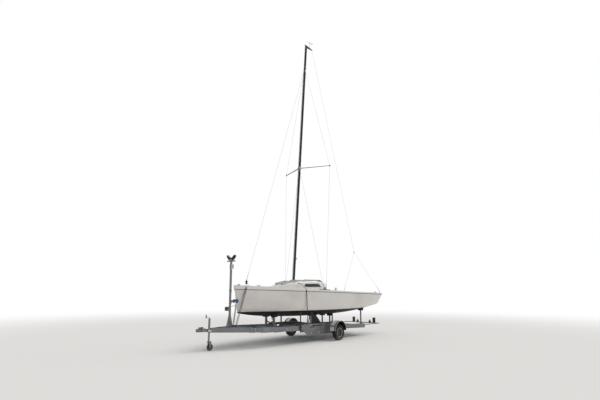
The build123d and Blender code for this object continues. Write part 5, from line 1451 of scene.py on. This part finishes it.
# A black strip in rubber finish lies along each side plate under its bright top edge, as painted shadow of
# the gap there; given as ahead and height
plateStrip = {"fore": 0.985, "aft": 0.480, "low": 0.506, "high": 0.536, "thick": 0.007,
              "edge": ((1.522, 0.551), (1.370, 0.575), (0.200, 0.569), (-0.428, 0.486))}


def makeSidePlateStrips():
    shadowStrips, edges = Piece("side_plate_shadow_strips"), Piece("side_plate_edges")
    for side in (-1, 1):
        inner, outer = sorted(side * (trailer["plateOuter"] + proud) for proud in (0, plateStrip["thick"]))
        # The black strip is painted shadow of the gap under the plate's top edge
        shadowStrips.box((xAt(plateStrip["fore"]), inner, plateStrip["low"]),
                   (xAt(plateStrip["aft"]), outer, plateStrip["high"]), 0.003)
        face = side * (trailer["plateOuter"] - 0.004)
        edges.sweep([(xAt(ahead), face, height) for ahead, height in plateStrip["edge"]], 0.014, 0.006,
                    [(-0.1, 0, 1), (0, 0, 1), (0, 0, 1), (0.1, 0, 1)])
    shadowStrips.finish("rubber")
    edges.finish("steel")


# Dark guide posts stand outside the rails, clamped to them, with a rubber pad against the hull
guidePost = {"ahead": 1.600, "across": 0.7975, "half": 0.015, "low": 0.335, "high": 0.985,
             "clamps": (0.400, 0.500), "bolt": 0.033}


def makeGuidePosts():
    post, pads = Piece("guide_posts"), Piece("guide_pads")
    x, half, high = xAt(guidePost["ahead"]), guidePost["half"], guidePost["high"]
    for side in (-1, 1):
        y, out = side * guidePost["across"], side * half
        post.box((x - half, y - half, guidePost["low"]), (x + half, y + half, high), 0.003)
        hull = fromSide(guidePost["ahead"], high - 0.035, side)[0]
        pad = sorted((hull.y + side * 0.001, hull.y + side * 0.022))
        pads.box((x - 0.050, pad[0], high - 0.080), (x + 0.050, pad[1], high + 0.010), 0.007)
        arm = sorted((hull.y + side * 0.020, y))
        post.box((x - 0.010, arm[0], high - 0.050), (x + 0.010, arm[1], high - 0.025), 0.002)
        for height in guidePost["clamps"]:
            post.box((x - 0.045, y + out - 0.003, height - 0.016),
                     (x + 0.045, y + out + 0.003, height + 0.016), 0.001)
            for along in (x - guidePost["bolt"], x + guidePost["bolt"]):
                post.rod((along, side * trailer["railOuter"], height),
                         (along, y + side * (half + 0.018), height), 0.005)
                post.bolt((along, y + side * (half + 0.003), height), (0, side, 0), 0.015, 0.007, 0.010)
    post.finish("epoxy")
    pads.finish("rubber")


# Lamp lenses in three parts on the housings' rear faces
lampGear = {"across": 0.500, "face": 3.250, "low": 0.388, "high": 0.587, "half": 0.047, "proud": 0.010,
            "triangleAcross": 0.300, "triangleHalf": 0.075, "triangleLow": 0.400, "triangleTop": 0.528,
            "triangleMiddle": 0.441, "lensShare": 0.84,
            "rows": (("lamp_lens_red", "lensRed", (0, 2)), ("lamp_lens_amber", "lensAmber", (1,)))}


def makeLampLenses():
    x, half = xAt(-lampGear["face"]), lampGear["half"]
    tall = (lampGear["high"] - lampGear["low"]) / 3
    for name, material, rows in lampGear["rows"]:
        glass = Piece(name)
        for across, row in ((side * lampGear["across"], row) for side in (-1, 1) for row in rows):
            low = lampGear["low"] + row * tall
            glass.box((x - 0.002, across - half, low + 0.002),
                      (x + lampGear["proud"], across + half, low + tall - 0.002), 0.004)
        glass.finish(material)


# Two red triangles in black rims
def makeTriangles():
    x, middle, share = xAt(-lampGear["face"]) - 0.030, lampGear["triangleMiddle"], lampGear["lensShare"]
    triangles, rims = Piece("rear_triangles"), Piece("rear_triangle_rims")
    half, low = lampGear["triangleHalf"], lampGear["triangleLow"]
    for centre in (-lampGear["triangleAcross"], lampGear["triangleAcross"]):
        corners = [(centre - half, low), (centre + half, low), (centre, lampGear["triangleTop"])]
        triangles.plate([(x + 0.006, centre + (y - centre) * share, middle + (z - middle) * share)
                         for y, z in corners], (0.004, 0, 0), 0.001)
        rims.plate([(x, y, z) for y, z in corners], (0.007, 0, 0), 0.002)
    triangles.finish("lensRed")
    rims.finish("blackPlastic")


# The lamps' lead is clipped along the bar
def makeLampLead():
    x = xAt(-lampGear["face"]) - 0.056
    lead = Piece("lamp_lead")
    for side in (-1, 1):
        lead.sweep([(x + 0.004, side * 0.470, 0.396), (x, side * 0.440, 0.378), (x, side * 0.30, 0.372),
                    (x, side * 0.04, 0.372), (x, 0.0, 0.372)], 0.008, segments=8)
    lead.finish("blackPlastic")


nose = {"bolts": (4.830, 4.900), "halfWidth": 0.0405, "drop": 0.075, "ballAhead": 5.068, "ballFrom": 4.950,
        "ballDrop": 0.052, "jockeyAhead": 4.740, "jockeyAcross": -0.092, "crank": 0.118, "gripHeight": 0.918,
        "webbing": (3.50, 3.535, 3.57, 3.608), "legFore": (4.560, 0.040), "legAft": (3.300, 0.750),
        "handle": (-0.130, -0.165)}


# Coupling: bolts and a lever with its grip
def makeCouplingGear():
    bolts = Piece("coupling_bolts")
    for ahead in nose["bolts"]:
        for side in (-1, 1):
            place = (xAt(ahead), side * nose["halfWidth"], frameTop(ahead) - nose["drop"])
            bolts.bolt(place, (0, side, 0), 0.019, 0.010)
    bolts.finish("steel")
    ball = Vector((xAt(nose["ballAhead"]), 0, frameTop(nose["ballFrom"]) - nose["ballDrop"]))
    bars = (("coupling_lever", "zinc", 0.026, 0.010,
             ((0.012, 0.028), (0.050, 0.052), (0.100, 0.060), (0.175, 0.058))),
            ("coupling_handle", "blackPlastic", 0.030, 0.018,
             ((0.096, 0.062), (0.140, 0.066), (0.186, 0.060))))
    for name, material, width, thick, bends in bars:
        bar = Piece(name)
        bar.sweep([ball + Vector((aft, 0, up)) for aft, up in bends], width, thick, [(0, 0, 1)] * len(bends))
        bar.finish(material)


# Jockey wheel: the crank's grip, and the clamp with its T handle
def makeJockeyGear():
    ahead, y = nose["jockeyAhead"], nose["jockeyAcross"]
    x, height = xAt(ahead), frameTop(ahead) - nose["drop"]
    grip = Piece("jockey_grip")
    grip.turned(stepped((0, 0.011), (0.006, 0.0155), (0.030, 0.0165), (0.078, 0.0150), (0.084, 0.010)),
                (xAt(ahead + nose["crank"]), y, nose["gripHeight"]), (0, 0, 1), 20)
    grip.finish("blackPlastic")
    clamp = Piece("jockey_clamp")
    clamp.turned(symmetric([(-0.026, 0.0302), (-0.026, 0.036)]), (x, y, height), (0, 0, 1), 28)
    root, end = nose["handle"]
    clamp.rod((x - 0.010, root, height), (x - 0.010, end, height), 0.0075)
    clamp.rod((x - 0.052, end, height), (x + 0.032, end, height), 0.0065)
    clamp.finish("steel")


# Webbing wound tightly round one leg of the drawbar
def makeLegWebbing():
    foreAhead, foreAcross = nose["legFore"]
    aftAhead, aftAcross = nose["legAft"]
    wound = Piece("leg_webbing")
    outward = [Vector(way).normalized() for way in ((0, -1, -1), (0, 1, -1), (0, 1, 1), (0, -1, 1))]
    for index, ahead in enumerate(nose["webbing"]):
        share = (ahead - aftAhead) / (foreAhead - aftAhead)
        y, x = -(aftAcross - share * (aftAcross - foreAcross)), xAt(ahead)
        top, low = frameTop(ahead) - 0.010, frameTop(ahead) - 0.142
        half = 0.050 + 0.002 * (index % 2)
        aft = x + 0.02
        wound.sweep([(aft, y - half, low), (aft, y + half, low), (x, y + half, top), (x, y - half, top)],
                    0.034, 0.005 + 0.003 * (index % 2), outward, closed=True)
    wound.finish("strapGrey")


makeSplashPanels()
makeGuardBeads()
makeSidePlateStrips()
makeGuidePosts()
makeLampLenses()
makeTriangles()
makeLampLead()
makeCouplingGear()
makeJockeyGear()
makeLegWebbing()
print("trailer dressed")


# Light, floor and camera

lighting = {
    "worldColour": (0.95, 0.96, 0.98), "worldStrength": 0.57, "sunStrength": 1.55,
    "sunColour": (1.0, 0.95, 0.89), "sunAngle": 32.0, "sunTurn": (38.0, 14.0, 62.0),
    "floorColour": (0.80, 0.80, 0.79), "floorRadius": 90.0, "fadeStart": 9.0, "fadeEnd": 26.0,
}


# What the camera sees past the floor is plain white, and the light itself is a little cool
def lightWorld():
    world = bpy.data.worlds.new("studio")
    world.use_nodes = True
    sky = Graph(world.node_tree)
    camera, through = sky.node("ShaderNodeLightPath", output=("Is Camera Ray", "Is Transmission Ray"))
    light = sky.node("ShaderNodeBackground", None,
                     {"Color": rgb(lighting["worldColour"]), "Strength": lighting["worldStrength"]})
    white = sky.node("ShaderNodeBackground", None, {"Color": (1, 1, 1, 1)})
    shader = sky.node("ShaderNodeMixShader", None, {0: camera.most(through), 1: light, 2: white})
    sky.node("ShaderNodeOutputWorld", None, {"Surface": shader}, output=())
    bpy.context.scene.world = world


def makeFloor():
    finish = Finish("paleFloor")
    reach = finish.maths("SQRT", finish.x * finish.x + finish.y * finish.y)
    path = finish.node("ShaderNodeLightPath", output="Is Camera Ray")
    diffuse = finish.node("ShaderNodeBsdfDiffuse", None, {"Color": rgb(lighting["floorColour"])})
    glow = finish.node("ShaderNodeEmission", None, {"Color": (1, 1, 1, 1), "Strength": 1.0})
    far = finish.step(reach, lighting["fadeStart"], lighting["fadeEnd"]) * path
    shader = finish.node("ShaderNodeMixShader", None, {0: far, 1: diffuse, 2: glow})
    finish.node("ShaderNodeOutputMaterial", None, {"Surface": shader}, output=())
    disc = bmesh.new()
    bmesh.ops.create_circle(disc, cap_ends=True, segments=96, radius=lighting["floorRadius"])
    mesh = bpy.data.meshes.new("floor")
    disc.to_mesh(mesh)
    disc.free()
    mesh.materials.append(finish.material)
    floor = addObject("floor", mesh)


def addSun():
    sun = bpy.data.lights.new("sun", "SUN")
    sun.energy = lighting["sunStrength"]
    sun.color = lighting["sunColour"]
    sun.angle = math.radians(lighting["sunAngle"])
    addObject("sun", sun).rotation_euler = [math.radians(angle) for angle in lighting["sunTurn"]]


# The camera stands off the port bow at eye height and looks up along the mast
view = {"aside": -10.986, "aft": -12.942, "height": 1.70, "lens": 27.0, "sensor": 36.0,
        "heading": (0.7431, 0.6691), "pitch": 11.31}


def placeCamera():
    data = bpy.data.cameras.new("camera")
    data.lens = view["lens"]
    data.sensor_width = view["sensor"]
    data.clip_end = 500.0
    camera = addObject("camera", data)
    pitch = math.radians(view["pitch"])
    x, y = view["heading"]
    forward = Vector((x * math.cos(pitch), y * math.cos(pitch), math.sin(pitch)))
    camera.location = (axleX + view["aft"], view["aside"], view["height"])
    camera.rotation_euler = forward.to_track_quat("-Z", "Y").to_euler()
    bpy.context.scene.camera = camera


lightWorld()
makeFloor()
addSun()
placeCamera()
bpy.context.scene.view_settings.view_transform = "Standard"
print("light, floor and camera set")
